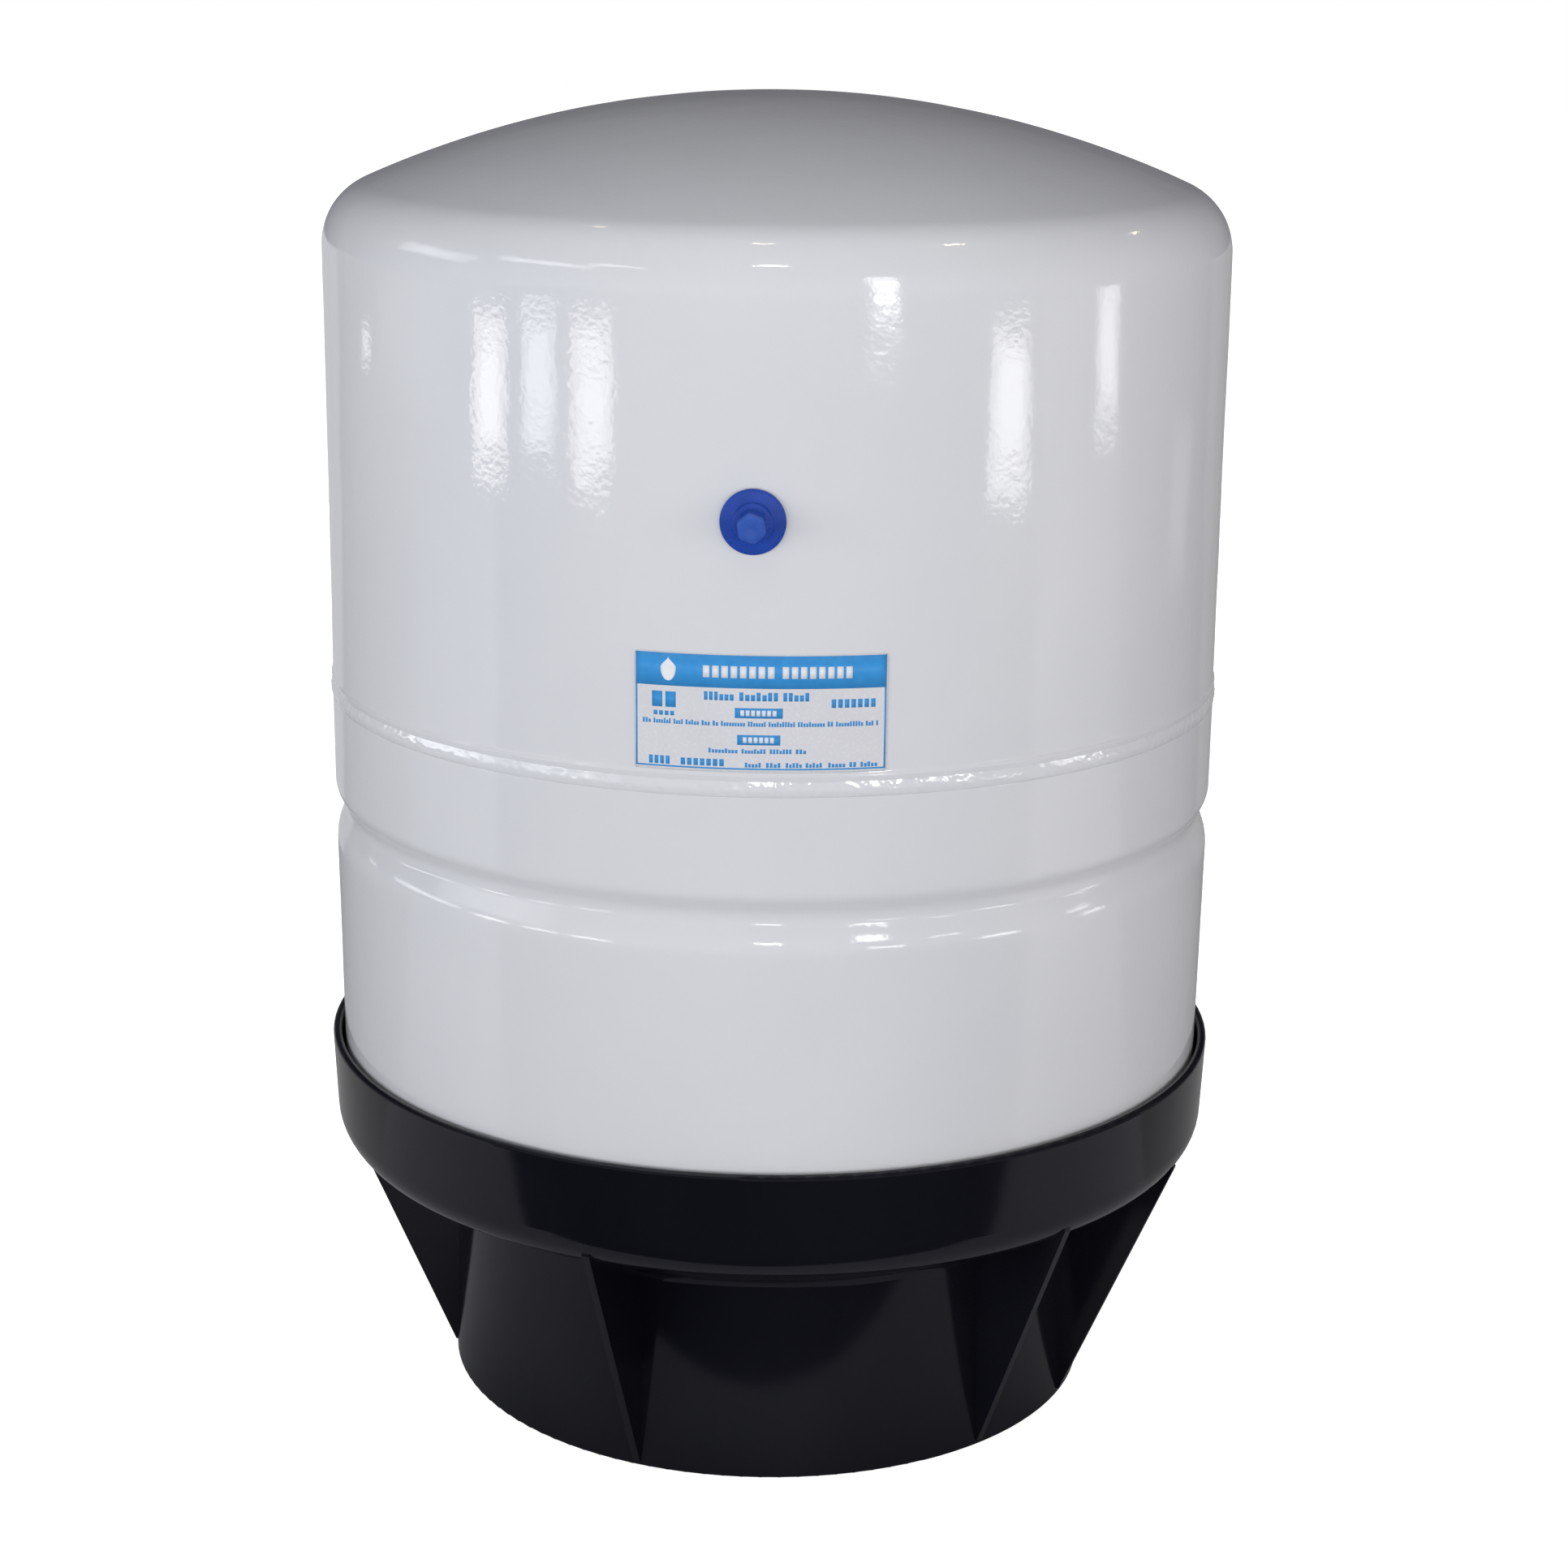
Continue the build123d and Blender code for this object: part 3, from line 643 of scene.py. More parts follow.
def patch(rows, back, front, points, faces, columns):
    """A thin solid patch between two lifts off the label; rows are (y, left, right), top down."""
    base = len(points)
    across = columns + 1
    for lift in (back, front):
        for y, left, right in rows:
            points += [on_label(left + (right - left) * i / columns, y, lift)
                       for i in range(across)]
    layer = len(rows) * across

    def at(lay, row, column):
        return base + lay * layer + row * across + column

    for row in range(len(rows) - 1):
        for column in range(columns):
            faces.append((at(1, row, column), at(1, row + 1, column),
                          at(1, row + 1, column + 1), at(1, row, column + 1)))
            faces.append((at(0, row, column), at(0, row, column + 1),
                          at(0, row + 1, column + 1), at(0, row + 1, column)))
    for row in range(len(rows) - 1):
        faces.append((at(0, row, 0), at(0, row + 1, 0), at(1, row + 1, 0), at(1, row, 0)))
        faces.append((at(1, row, columns), at(1, row + 1, columns),
                      at(0, row + 1, columns), at(0, row, columns)))
    last = len(rows) - 1
    for column in range(columns):
        faces.append((at(0, 0, column), at(1, 0, column),
                      at(1, 0, column + 1), at(0, 0, column + 1)))
        faces.append((at(1, last, column), at(0, last, column),
                      at(0, last, column + 1), at(1, last, column + 1)))


points, faces = [], []
film_rows = []
for i in range(FILM_ROWS + 1):
    y = LABEL_H * i / FILM_ROWS
    into_corner = max(0.0, FILM_CORNER - min(y, LABEL_H - y))
    inset = FILM_CORNER - math.sqrt(max(0.0, FILM_CORNER ** 2 - into_corner ** 2))
    film_rows.append((y, inset, LABEL_W - inset))
patch(film_rows, -FILM_T, 0.0, points, faces, FILM_COLUMNS)
add_piece("label_sheet", points, faces, FILM, "tank", "label_film", "label")

blue_points, blue_faces, white_points, white_faces = [], [], [], []


def white_patch(rows, columns):
    """White ink, which starts half way into the blue that it lies on."""
    patch(rows, INK * 0.5, 2 * INK, white_points, white_faces, columns)


def bar(left, right, top, bottom, white=False):
    """A printed bar; white ones lie on blue ones."""
    columns = max(1, math.ceil((right - left) / BAR_STEP))
    rows = [(top, left, right), (bottom, left, right)]
    if white:
        white_patch(rows, columns)
    else:
        patch(rows, -INK_SUNK, INK, blue_points, blue_faces, columns)


SHORT_DROP = 0.28  # how much lower the short blocks start
TALL_GAP = 0.30  # gaps after blocks, as shares of their pitch
SHORT_GAP = 0.24


def word(left, right, top, bottom, pitch, white=False, light=0.3):
    """A word's worth of plain blocks: no letters, only their rhythm.

    light is the share of blocks that are as tall as the first one.
    """
    count = max(1, round((right - left) / pitch))
    step = (right - left) / count
    for i in range(count):
        tall = i == 0 or rng.random() < light
        start = top if tall else top + (bottom - top) * SHORT_DROP
        gap = step * (TALL_GAP if tall else SHORT_GAP)
        bar(left + i * step, left + (i + 1) * step - gap, start, bottom, white)


# Header band, and a frame line round the rest that stops just short of it and of itself
MARGIN = 0.5
BAND_TOP, BAND_BOTTOM = 0.4, 12.3
FRAME_INSIDE = 1.15
FRAME_FOOT = LABEL_H - 1.0
FRAME_T = 0.6
HAIR = 0.02
bar(MARGIN, LABEL_W - MARGIN, BAND_TOP, BAND_BOTTOM)
bar(MARGIN, FRAME_INSIDE, BAND_BOTTOM + HAIR, FRAME_FOOT)
bar(LABEL_W - FRAME_INSIDE, LABEL_W - MARGIN, BAND_BOTTOM + HAIR, FRAME_FOOT)
bar(FRAME_INSIDE + HAIR, LABEL_W - FRAME_INSIDE - HAIR, FRAME_FOOT - FRAME_T, FRAME_FOOT)

# A plain drop on the band
DROP_X = 12.4
DROP_TOP = 1.9
DROP_H = 8.6
DROP_R = 2.75
DROP_WIDEST = 0.45  # share of its height, from the top
DROP_TAPER = 1.6
DROP_TIP = 0.05
DROP_STEPS = 24
drop_rows = []
for i in range(DROP_STEPS + 1):
    t = i / DROP_STEPS
    if t < DROP_WIDEST:
        half = DROP_R * math.sin(math.pi / 2 * (t / DROP_WIDEST)) ** DROP_TAPER
    else:
        half = DROP_R * math.sqrt(max(0.0, 1 - ((t - DROP_WIDEST) / (1 - DROP_WIDEST)) ** 2))
    half = max(half, DROP_TIP)
    drop_rows.append((DROP_TOP + DROP_H * t, DROP_X - half, DROP_X + half))
white_patch(drop_rows, columns=6)

# On the band, then the lines of print below it from the top down
word(24.9, 51.2, 4.3, 8.6, 3.3, True, 1.0)
word(53.1, 78.8, 4.3, 8.6, 3.2, True, 1.0)
for left, right in ((25.3, 36.3), (37.9, 52.1), (53.4, 63.1)):
    word(left, right, 13.7, 16.8, 1.9)
word(70.5, 87.0, 16.2, 19.3, 2.2, light=0.8)
bar(6.5, 10.3, 14.4, 20.1)
bar(11.4, 15.2, 14.4, 20.1)
word(7.1, 15.2, 21.5, 23.1, 2.0, light=1.0)
bar(36.3, 53.3, 19.4, 23.1)
word(38.3, 51.6, 20.2, 22.3, 1.8, True, 1.0)
WORD_SPACE = 0.75
LINE_END = 87.6
cursor = 3.1
for length in (3.2, 6.6, 3.6, 5.0, 3.2, 2.2, 8.8, 6.6, 9.6, 9.8, 2.2, 10.0, 3.0, 3.6):
    word(cursor, min(cursor + length, LINE_END), 24.3, 26.1, 1.0)
    cursor += length + WORD_SPACE
bar(37.2, 52.5, 29.2, 32.9)
word(39.2, 50.8, 30.0, 32.1, 1.9, True, 1.0)
for left, right in ((27.0, 37.6), (38.8, 47.6), (48.8, 56.8), (58.0, 62.0)):
    word(left, right, 34.3, 36.0, 1.15)
word(5.4, 13.6, 38.0, 41.0, 2.1, light=1.0)
word(17.0, 33.2, 38.3, 40.9, 2.35, light=1.0)
for left, right in ((40.0, 46.0), (47.5, 53.0), (54.5, 60.5), (61.6, 67.7),
                    (69.6, 76.0), (77.2, 80.0), (81.2, 87.6)):
    word(left, right, 39.3, 41.1, 1.3)

add_piece("label_print_blue", blue_points, blue_faces, BLUE_INK, "tank", "label_film")
add_piece("label_print_white", white_points, white_faces, WHITE_INK, "tank", "label_film")

# ================= Valve and pipe: turned, milled and threaded pieces =================

def hexagon(flats, first_corner, clip):
    """Radius of a hexagon at an angle, its corners clipped round at a share of their radius."""
    def radius(angle):
        part = (angle - math.radians(first_corner)) % (math.pi / 3) - math.pi / 6
        return min(flats / 2 / math.cos(part), clip * flats / math.sqrt(3))
    return radius


# Where hexagons' corners are clipped, as shares of their radius
CLIP = 0.955
WIDE_CLIP = 0.965

# A thread's tooth: how high its flanks would meet, and how steeply they fall
CREST = 1.5
FLANK = 2.1


def thread(crest, depth, pitch, along, fade=1.0):
    """Radius of a screw thread at an angle, for a place along its axis."""
    def radius(angle):
        phase = (along / pitch - angle / (2 * math.pi)) % 1.0
        tooth = max(0.0, min(1.0, CREST - abs(2 * phase - 1) * FLANK))
        return crest - depth * (1 - tooth * fade)
    return radius


# The stem, from its inner end over the hexagon and the thread to its mouth, and back down the bore
STEM_END = 11.2
STEM_R = 3.84
STEM_PITCH = 0.794
STEM_THREAD_DEPTH = 0.42
STEM_THREAD_START = 2.0
STEM_CHAMFER = 0.3
STEM_STEPS = 96
STEM_SEGMENTS = 96
stem_hex = hexagon(9.0, 0, WIDE_CLIP)
stem_hex_soft = hexagon(8.7, 0, WIDE_CLIP)
stem_rings = [(2.1, -7.5), (3.9, -7.5), (3.9, 0.6), (stem_hex_soft, 0.6), (stem_hex, 0.75),
              (stem_hex, 1.85), (stem_hex_soft, 2.0), (3.45, STEM_THREAD_START)]
stem_run = STEM_END - STEM_CHAMFER - STEM_THREAD_START
for i in range(1, STEM_STEPS):
    along = STEM_THREAD_START + stem_run * i / STEM_STEPS
    edge = min(1.0, (along - STEM_THREAD_START) / 0.5, (STEM_END - along) / 0.6)
    stem_rings.append((thread(STEM_R, STEM_THREAD_DEPTH, STEM_PITCH, along, edge), along))
stem_rings += [(3.4, STEM_END - 0.12), (3.2, STEM_END), (2.75, STEM_END),
               (2.65, STEM_END - 0.1), (2.65, 3.0), (2.1, 3.0)]
points, faces = turned(stem_rings, AT_VALVE, STEM_SEGMENTS, closed=True)
add_piece("stem_threaded", points, faces, BRASS, "tank", "valve_brass", "valve_stem")

# The valve core's spring, a coil of wire with a mesh of its own; in the real valve it shortens as
# the pin is pressed
SPRING_R = 1.4
SPRING_WIRE_R = 0.15
SPRING_TURNS = 5
SPRING_START = 6.40
SPRING_HEIGHT = 3.10
COIL_STEPS = 240
WIRE_SIDES = 12
valve_origin, valve_side, valve_up = AT_VALVE
valve_out = valve_side.cross(valve_up)
points, faces = [], []
for i in range(COIL_STEPS + 1):
    turn = 2 * math.pi * SPRING_TURNS * i / COIL_STEPS
    spoke = valve_side * math.cos(turn) + valve_up * math.sin(turn)
    along = SPRING_START + SPRING_HEIGHT * i / COIL_STEPS
    centre = valve_origin + spoke * SPRING_R + valve_out * along
    for k in range(WIRE_SIDES):
        t = 2 * math.pi * k / WIRE_SIDES
        points.append(centre + (spoke * math.cos(t) + valve_out * math.sin(t)) * SPRING_WIRE_R)
for i in range(COIL_STEPS):
    for k in range(WIRE_SIDES):
        a, b = i * WIRE_SIDES + k, i * WIRE_SIDES + (k + 1) % WIRE_SIDES
        faces.append((a, b, b + WIRE_SIDES, a + WIRE_SIDES))
faces.append(tuple(range(WIRE_SIDES)))
faces.append(tuple(range(COIL_STEPS * WIRE_SIDES, (COIL_STEPS + 1) * WIRE_SIDES)))
coil = add_piece("spring_coil", points, faces, SPRING, "tank", "spring_steel", "core_spring")
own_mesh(coil)

# The cap, from its middle over the hexagon, collar and dished flange, and up its threaded bore
CAP_END = 13.59
CAP_SEGMENTS = 144
CAP_HEX_TURN = 39.0
CAP_HEX_FOOT = 4.0
CAP_BORE_R = 4.3
CAP_THREAD_DEPTH = 0.36
CAP_THREAD_START = 2.4
CAP_THREAD_RUN = 9.6
CAP_THREAD_STEPS = 72
cap_hex = hexagon(9.4, CAP_HEX_TURN, CLIP)
cap_hex_soft = hexagon(9.0, CAP_HEX_TURN, CLIP)
cap_hex_end = hexagon(8.4, CAP_HEX_TURN, CLIP)
cap_hex_foot = hexagon(9.7, CAP_HEX_TURN, WIDE_CLIP)
cap_rings = [(0.0, CAP_END - 0.25), (1.0, CAP_END - 0.25), (1.5, CAP_END - 0.12),
             (3.2, CAP_END - 0.05), (cap_hex_end, CAP_END), (cap_hex_soft, CAP_END - 0.1),
             (cap_hex, CAP_END - 0.4)]
cap_rings += [(cap_hex, CAP_END - 0.4 - 8.9 * i / 8) for i in range(1, 9)]
cap_rings += [(cap_hex_foot, CAP_HEX_FOOT), (5.85, 3.8), (6.4, 3.8), (6.75, 3.7), (6.95, 3.5),
              (7.0, 3.2), (7.0, 2.5), (7.1, 2.28), (7.4, 2.15), (9.3, 1.94), (10.9, 1.78),
              (11.3, 1.68), (11.58, 1.48), (11.7, 1.2), (11.7, 0.7), (11.6, 0.42), (11.35, 0.35),
              (10.8, 0.4), (6.9, 1.45), (5.6, 1.5), (5.5, 2.25), (3.95, 2.3)]
for i in range(1, CAP_THREAD_STEPS):
    along = CAP_THREAD_START + CAP_THREAD_RUN * i / CAP_THREAD_STEPS
    cap_rings.append((thread(CAP_BORE_R, CAP_THREAD_DEPTH, STEM_PITCH, along), along))
cap_rings += [(4.0, 12.2), (3.9, 12.4), (0.0, 12.4)]
points, faces = turned(cap_rings, AT_VALVE, CAP_SEGMENTS)
add_piece("cap_moulding", points, faces, BLUE_PLASTIC, "cap", "blue_plastic", "valve_cap")

# The outlet pipe with its hexagon and its pipe thread
PIPE_R = 13.22
PIPE_START = 47.2
PIPE_END = 186.0
PIPE_PITCH = 1.814
PIPE_BORE = 10.0
PIPE_THREAD_DEPTH = 1.1
PIPE_THREAD_START = 168.0
PIPE_THREAD_RUN = 17.2
PIPE_THREAD_STEPS = 150
PIPE_SEGMENTS = 120
pipe_hex = hexagon(30.0, 0, CLIP)
pipe_hex_soft = hexagon(28.6, 0, CLIP)
pipe_rings = [(PIPE_BORE, PIPE_START + 0.5), (10.4, PIPE_START), (12.9, PIPE_START),
              (PIPE_R, PIPE_START + 0.4)]
pipe_rings += [(PIPE_R, PIPE_START + 1 + 111.0 * i / 12) for i in range(13)]
pipe_rings += [(pipe_hex_soft, 159.0), (pipe_hex, 159.6), (pipe_hex, 163.5), (pipe_hex, 167.4),
               (pipe_hex_soft, PIPE_THREAD_START), (12.1, PIPE_THREAD_START + 0.02)]
for i in range(1, PIPE_THREAD_STEPS):
    along = PIPE_THREAD_START + PIPE_THREAD_RUN * i / PIPE_THREAD_STEPS
    edge = min(1.0, (along - PIPE_THREAD_START) / 1.2, (PIPE_END - along) / 1.4)
    pipe_rings.append((thread(PIPE_R, PIPE_THREAD_DEPTH, PIPE_PITCH, along, edge), along))
pipe_rings += [(12.0, 185.6), (11.6, PIPE_END), (10.6, PIPE_END)]
pipe_rings += [(PIPE_BORE, along) for along in (185.4, 160.0, 120.0, 80.0)]
points, faces = turned(pipe_rings, AT_PIPE, PIPE_SEGMENTS, closed=True)
add_piece("pipe_threaded", points, faces, ZINC, "tank", "zinc_steel", "outlet_pipe")

# ================= Finishes for the CAD nodes that stay =================

for part in frame["record"]["subparts"]:
    mesh = frame["nodes"][part["node"]].data
    mesh.materials.clear()
    mesh.materials.append(SLOT_FINISH[part["material_slot"]])

# ================= Floor, camera, room and lights =================

def around_tank(azimuth, radius, height):
    """A place in metres, its azimuth counted from -Y towards +X."""
    turn = math.radians(azimuth)
    return Vector((radius * math.sin(turn), -radius * math.cos(turn), height))


FLOOR_SIZE = 16.0  # metres, like all that follows
GLOW = 0.80
GLOW_START = (0.119, 0.125)  # distances from the middle between which the floor starts to glow

bpy.ops.mesh.primitive_plane_add(size=FLOOR_SIZE, location=(0, 0, 0))
floor = bpy.context.object
floor.name = "studio_floor"
floor_material, nodes, links, shader = new_material("studio_floor", Roughness=0.9)
clouds = grain(nodes, links, 3.0)
pale = blended(nodes, links, clouds, (0.40, 0.40, 0.40, 1), (0.42, 0.42, 0.42, 1))
links.new(pale, shader.inputs["Base Color"])
shader.inputs["Specular IOR Level"].default_value = 0.1
place = nodes.new("ShaderNodeTexCoord")
far = nodes.new("ShaderNodeVectorMath")
far.operation = "LENGTH"
links.new(place.outputs["Object"], far.inputs[0])
# The floor glows a little, so that the shadow on it stays faint, but not inside the stand's skirt.
shader.inputs["Emission Color"].default_value = (1, 1, 1, 1)
links.new(
    ranged(nodes, links, far.outputs["Value"], 0.0, GLOW, *GLOW_START),
    shader.inputs["Emission Strength"],
)
# Rays other than the camera's see it darker, most of all close to the stand, where the extra
# darkness is a painted shadow.
ray = nodes.new("ShaderNodeLightPath")
in_diffuse = blended(
    nodes, links, far.outputs["Value"], (0.15, 0.15, 0.16, 1), (0.33, 0.33, 0.35, 1), 0.6, 1.3
)
dim = nodes.new("ShaderNodeBsdfDiffuse")
in_gloss = blended(
    nodes, links, far.outputs["Value"], (0.22, 0.22, 0.235, 1), (0.34, 0.34, 0.36, 1), 0.3, 0.7
)
links.new(
    blended(nodes, links, ray.outputs["Is Glossy Ray"], in_diffuse, in_gloss, 0.0, 1.0),
    dim.inputs["Color"],
)
bounce = nodes.new("ShaderNodeMixShader")
links.new(ray.outputs["Is Camera Ray"], bounce.inputs["Fac"])
links.new(dim.outputs["BSDF"], bounce.inputs[1])
links.new(shader.outputs["BSDF"], bounce.inputs[2])
links.new(bounce.outputs["Shader"], nodes["Material Output"].inputs["Surface"])
floor.data.materials.append(floor_material)

camera_data = bpy.data.cameras.new("camera")
camera = bpy.data.objects.new("camera", camera_data)
bpy.context.scene.collection.objects.link(camera)
bpy.context.scene.camera = camera
# Where the camera stands (degrees and metres), how it is tilted (degrees), and its lens (mm)
CAMERA_AZIMUTH = 2.4
CAMERA_FAR = 1.2872
CAMERA_UP = 0.6054
CAMERA_PITCH = 15.57
CAMERA_ROLL = 0.545
CAMERA_LENS = 74.43
CAMERA_SENSOR = 36.0
CAMERA_SHIFT = (0.0076, -0.0007)
camera_data.lens = CAMERA_LENS
camera_data.sensor_width = CAMERA_SENSOR
camera_data.shift_x, camera_data.shift_y = CAMERA_SHIFT
camera.matrix_world = (
    Matrix.Translation(around_tank(CAMERA_AZIMUTH, CAMERA_FAR, CAMERA_UP))
    @ Matrix.Rotation(math.radians(CAMERA_AZIMUTH), 4, "Z")
    @ Matrix.Rotation(math.pi / 2 - math.radians(CAMERA_PITCH), 4, "X")
    @ Matrix.Rotation(math.radians(CAMERA_ROLL), 4, "Z")
)

# The room's colours by height: 0 is straight down, 0.5 is level and 1 is straight up.
ROOM = (
    (0.0, (0.30, 0.30, 0.32, 1)), (0.5, (0.44, 0.44, 0.47, 1)), (0.58, (0.24, 0.235, 0.25, 1)),
    (0.80, (0.036, 0.035, 0.040, 1)), (1.0, (1.0, 1.0, 1.0, 1)),
)

# The camera sees plain white; light and gloss come from the room.
world = bpy.data.worlds.new("studio")
bpy.context.scene.world = world
world.use_nodes = True
nodes, links = world.node_tree.nodes, world.node_tree.links
nodes.clear()
out = nodes.new("ShaderNodeOutputWorld")
room = nodes.new("ShaderNodeBackground")
seen = nodes.new("ShaderNodeBackground")
seen.inputs["Color"].default_value = (1, 1, 1, 1)
choose = nodes.new("ShaderNodeMixShader")
path = nodes.new("ShaderNodeLightPath")
direction = nodes.new("ShaderNodeTexCoord")
split = nodes.new("ShaderNodeSeparateXYZ")
links.new(direction.outputs["Generated"], split.inputs["Vector"])
half_up = ranged(nodes, links, split.outputs["Z"], 0.0, 1.0, -1.0, 1.0)
rise = nodes.new("ShaderNodeValToRGB")
links.new(half_up, rise.inputs["Fac"])
stops = rise.color_ramp.elements
for position, colour in ROOM[1:-1]:
    stops.new(position)
for stop, (position, colour) in zip(stops, ROOM):
    stop.position, stop.color = position, colour
# Cooler on the left and warmer on the right, and darker behind the tank
cast = blended(
    nodes, links, split.outputs["X"], (1.14, 1.17, 1.23, 1), (1.00, 0.98, 0.97, 1), -1.0, 1.0
)
behind = blended(
    nodes, links, split.outputs["Y"], (1.0, 1.0, 1.0, 1), (0.30, 0.30, 0.31, 1), -0.1, 0.55
)


def multiplied(first, second):
    """The product of two colours in the world's nodes."""
    node = nodes.new("ShaderNodeMix")
    node.data_type = "RGBA"
    node.blend_type = "MULTIPLY"
    node.inputs["Factor"].default_value = 1.0
    sockets = [socket for socket in node.inputs if socket.type == "RGBA"]
    links.new(first, sockets[0])
    links.new(second, sockets[1])
    return next(socket for socket in node.outputs if socket.type == "RGBA")


tinted = multiplied(multiplied(rise.outputs["Color"], cast), behind)
links.new(tinted, room.inputs["Color"])
links.new(path.outputs["Is Camera Ray"], choose.inputs["Fac"])
links.new(room.outputs["Background"], choose.inputs[1])
links.new(seen.outputs["Background"], choose.inputs[2])
links.new(choose.outputs["Shader"], out.inputs["Surface"])


def receivers(name, *objects):
    """A collection that limits a light to these objects."""
    group = bpy.data.collections.new(name)
    for one in objects:
        group.objects.link(one)
    return group


def area_light(name, place, aim, size, radiance, colour, group=None, mirrored=False):
    """A rectangular light that isn't seen itself. A mirrored one shows only as a reflection."""
    data = bpy.data.lights.new(name, "AREA")
    data.shape = "RECTANGLE"
    data.size, data.size_y = size
    data.energy = radiance * math.pi * size[0] * size[1]
    data.color = colour
    light = bpy.data.objects.new(name, data)
    bpy.context.scene.collection.objects.link(light)
    way = Vector(aim) - Vector(place)
    turn = way.to_track_quat("-Z", "Y").to_matrix().to_4x4()
    light.matrix_world = Matrix.Translation(place) @ turn
    light.visible_camera = False
    light.visible_glossy = mirrored
    light.visible_diffuse = not mirrored
    if group:
        light.light_linking.receiver_collection = group


CARD_Z = 0.001
CARD_FAR = 8
FAN_STEPS = 8


def glossy_card(name, outline, radiance):
    """A card just above the floor that shows only as a reflection: dark at 0, else glowing."""
    mesh = bpy.data.meshes.new(name)
    mesh.from_pydata([(x, y, CARD_Z) for x, y in outline], [], [tuple(range(len(outline)))])
    sheet = bpy.data.objects.new(name, mesh)
    bpy.context.scene.collection.objects.link(sheet)
    mesh.materials.append(new_material(
        name, Base_Color=(0, 0, 0, 1), Specular_IOR_Level=0.0,
        Emission_Color=(0.98, 0.98, 1.0, 1), Emission_Strength=radiance,
    )[0])
    sheet.visible_camera = sheet.visible_diffuse = sheet.visible_shadow = False
    sheet.visible_transmission = sheet.visible_volume_scatter = False


def floor_fan(name, first, last, near, far, radiance):
    """A glossy card in the shape of a sector around the tank, between two azimuths."""
    turns = [first + (last - first) * i / FAN_STEPS for i in range(FAN_STEPS + 1)]
    outline = [around_tank(turn, near, 0).xy for turn in turns]
    outline += [around_tank(turn, far, 0).xy for turn in reversed(turns)]
    glossy_card(name, outline, radiance)


# A wide sun keeps the floor white; soft lamps light the object.
SUN_STRENGTH = 3.3
SUN_ANGLE = 110
SOFT_FAR = 1.9
SOFT_AIM = (0, 0, 0.34)
SOFT_LAMPS = (
    ("soft_left", -46, 0.52, (1.6, 0.8), 3.2, (0.950, 0.980, 1.0)),
    ("soft_front", 8, 0.50, (1.5, 0.8), 2.7, (0.98, 0.985, 1.0)),
    ("soft_back", 180, 0.28, (1.7, 0.7), 4.2, (0.98, 0.985, 1.0)),
    ("soft_right", 60, 0.52, (1.1, 0.8), 2.9, (1.0, 0.985, 0.955)),
)

sun_data = bpy.data.lights.new("floor_sun", "SUN")
sun_data.energy = SUN_STRENGTH
sun_data.angle = math.radians(SUN_ANGLE)
sun = bpy.data.objects.new("floor_sun", sun_data)
bpy.context.scene.collection.objects.link(sun)
sun.light_linking.receiver_collection = receivers("floor_only", floor)
for name, azimuth, height, size, radiance, colour in SOFT_LAMPS:
    place = around_tank(azimuth, SOFT_FAR, height)
    area_light(name, place, SOFT_AIM, size, radiance, colour)

# What the gloss sees low down: in front a dark area, and behind the tank the room, as sectors:
# name, azimuths, radii, radiance
glossy_card("dark_front", [(-5, -1.9), (-5, -5), (5, -5), (5, -1.9), (0.67, -0.34), (0.5, -0.28),
                           (0, -0.22), (-0.5, -0.28), (-0.67, -0.34)], 0.0)
FANS = (
    ("back_left_near", -180, -95, 0.26, 0.85, 0.32),
    ("back_right_near", 95, 180, 0.26, 0.85, 0.27),
    ("back_left_edge", -180, -138, 0.85, CARD_FAR, 0.62),
    ("back_left", -138, -95, 0.85, CARD_FAR, 0.36),
    ("back_right", 95, 139, 0.85, CARD_FAR, 0.20),
    ("back_right_edge", 139, 180, 0.85, CARD_FAR, 0.34),
)
for fan in FANS:
    floor_fan(*fan)
both = receivers("enamel_only", upper, lower, seam)
above = receivers("upper_only", upper)
below = receivers("lower_only", lower, seam)
weld = receivers("seam_only", seam)

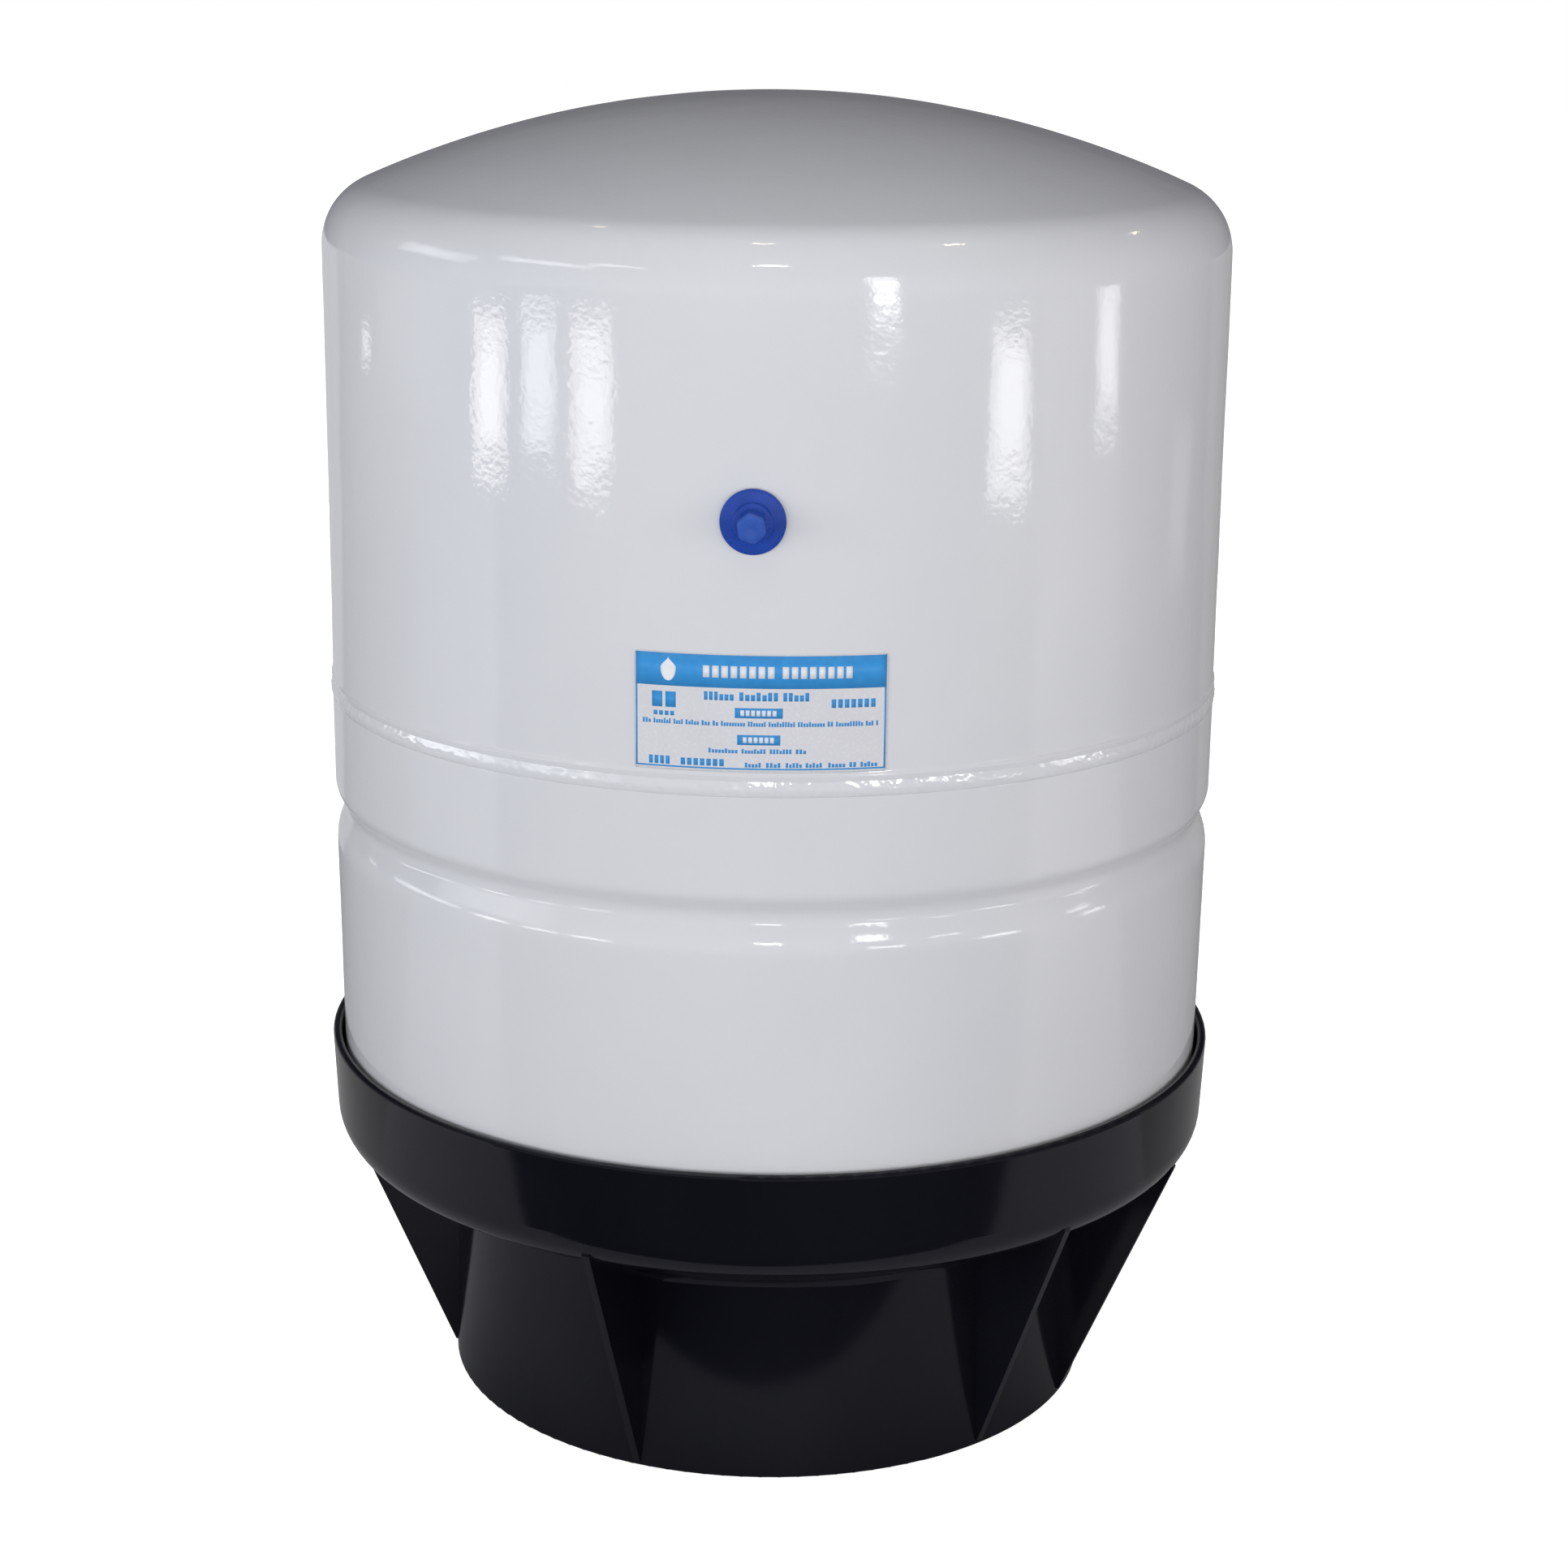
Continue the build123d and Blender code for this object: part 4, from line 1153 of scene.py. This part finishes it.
# Lamps and windows that show in the enamel:
# azimuth, radius, height, width, tall, radiance, colour, and the pieces that show them
NEUTRAL, BLUISH, AMBER = (1, 1, 0.99), (0.94, 0.96, 1.0), (1.0, 0.80, 0.55)
LAMPS = (
    (-67.6, 1.43, 0.234, 0.21, 0.092, 11, NEUTRAL, both),
    (-53.4, 1.44, 0.247, 0.19, 0.085, 9, BLUISH, both),
    (-40.3, 1.45, 0.230, 0.21, 0.088, 11, NEUTRAL, both),
    (27.0, 1.46, 0.66, 0.13, 0.58, 17, NEUTRAL, above),
    (27.0, 1.46, 0.335, 0.15, 0.080, 10, NEUTRAL, above),
    (29.6, 1.46, 0.31, 0.19, 0.06, 16, NEUTRAL, below),
    (57.6, 1.44, 0.225, 0.22, 0.105, 12, NEUTRAL, both),
    (86.5, 1.42, 0.275, 0.15, 0.110, 8, NEUTRAL, both),
    (-114.5, 1.37, 0.26, 0.10, 0.022, 4, BLUISH, both),
    (119.0, 1.36, 0.15, 0.20, 0.10, 0.6, NEUTRAL, above),
    (-94.0, 1.40, 0.27, 0.55, 0.08, 0.5, BLUISH, above),
    (-91.0, 2.46, 1.30, 0.95, 0.34, 4.5, BLUISH, above),
    (-58.0, 2.38, 1.60, 0.95, 0.20, 7, BLUISH, above),
    (-38.5, 2.30, 1.80, 0.50, 0.12, 8, BLUISH, above),
    (-92.0, 2.61, 0.36, 1.00, 0.16, 6, BLUISH, below),
    (-72.0, 2.50, 0.92, 1.30, 0.66, 2.6, BLUISH, below),
    (-84.0, 2.60, 0.62, 1.10, 0.40, 9, BLUISH, weld),
    (-48.0, 2.50, 0.80, 0.90, 0.36, 7, BLUISH, weld),
    (1.6, 2.57, 1.10, 0.26, 0.44, 26, NEUTRAL, weld),
    (27.2, 2.52, 1.16, 0.34, 0.46, 24, NEUTRAL, weld),
    (46.0, 2.58, 0.98, 0.45, 0.36, 15, NEUTRAL, weld),
    (80.0, 2.58, 0.78, 0.50, 0.36, 10, NEUTRAL, weld),
    (1.2, 2.02, 2.16, 0.22, 0.07, 80, NEUTRAL, above),
    (1.6, 2.57, 0.96, 0.24, 0.16, 25, NEUTRAL, below),
    (27.2, 2.52, 1.10, 0.30, 0.25, 22, NEUTRAL, below),
    (46.0, 2.58, 0.85, 0.35, 0.10, 10, NEUTRAL, below),
    (85.0, 2.58, 0.68, 0.30, 0.14, 8, NEUTRAL, below),
    (-6.2, 0.64, 2.94, 0.10, 0.06, 30, AMBER, above),
    (74.5, 1.27, 2.69, 0.10, 0.06, 90, AMBER, above),
    (121.7, 2.13, 1.86, 0.10, 0.06, 16, AMBER, above),
    (-127.3, 1.11, 2.70, 0.10, 0.06, 14, AMBER, above),
)
LAMP_AIM = (0, 0, 0.42)
# Each lamp has a bright core and a wider, dimmer edge: share of the radiance, share of the size.
LAMP_PARTS = (("core", 0.62, 0.72), ("edge", 0.38, 1.22))
for number, (azimuth, radius, height, width, tall, radiance, colour, group) in enumerate(LAMPS):
    for part, share, spread in LAMP_PARTS:
        area_light(
            f"lamp_{number}_{part}", around_tank(azimuth, radius, height), LAMP_AIM,
            (width * spread, tall * spread), radiance * share, colour, group, mirrored=True,
        )

bpy.context.scene.view_settings.view_transform = "Standard"
bpy.context.scene.view_settings.look = "None"
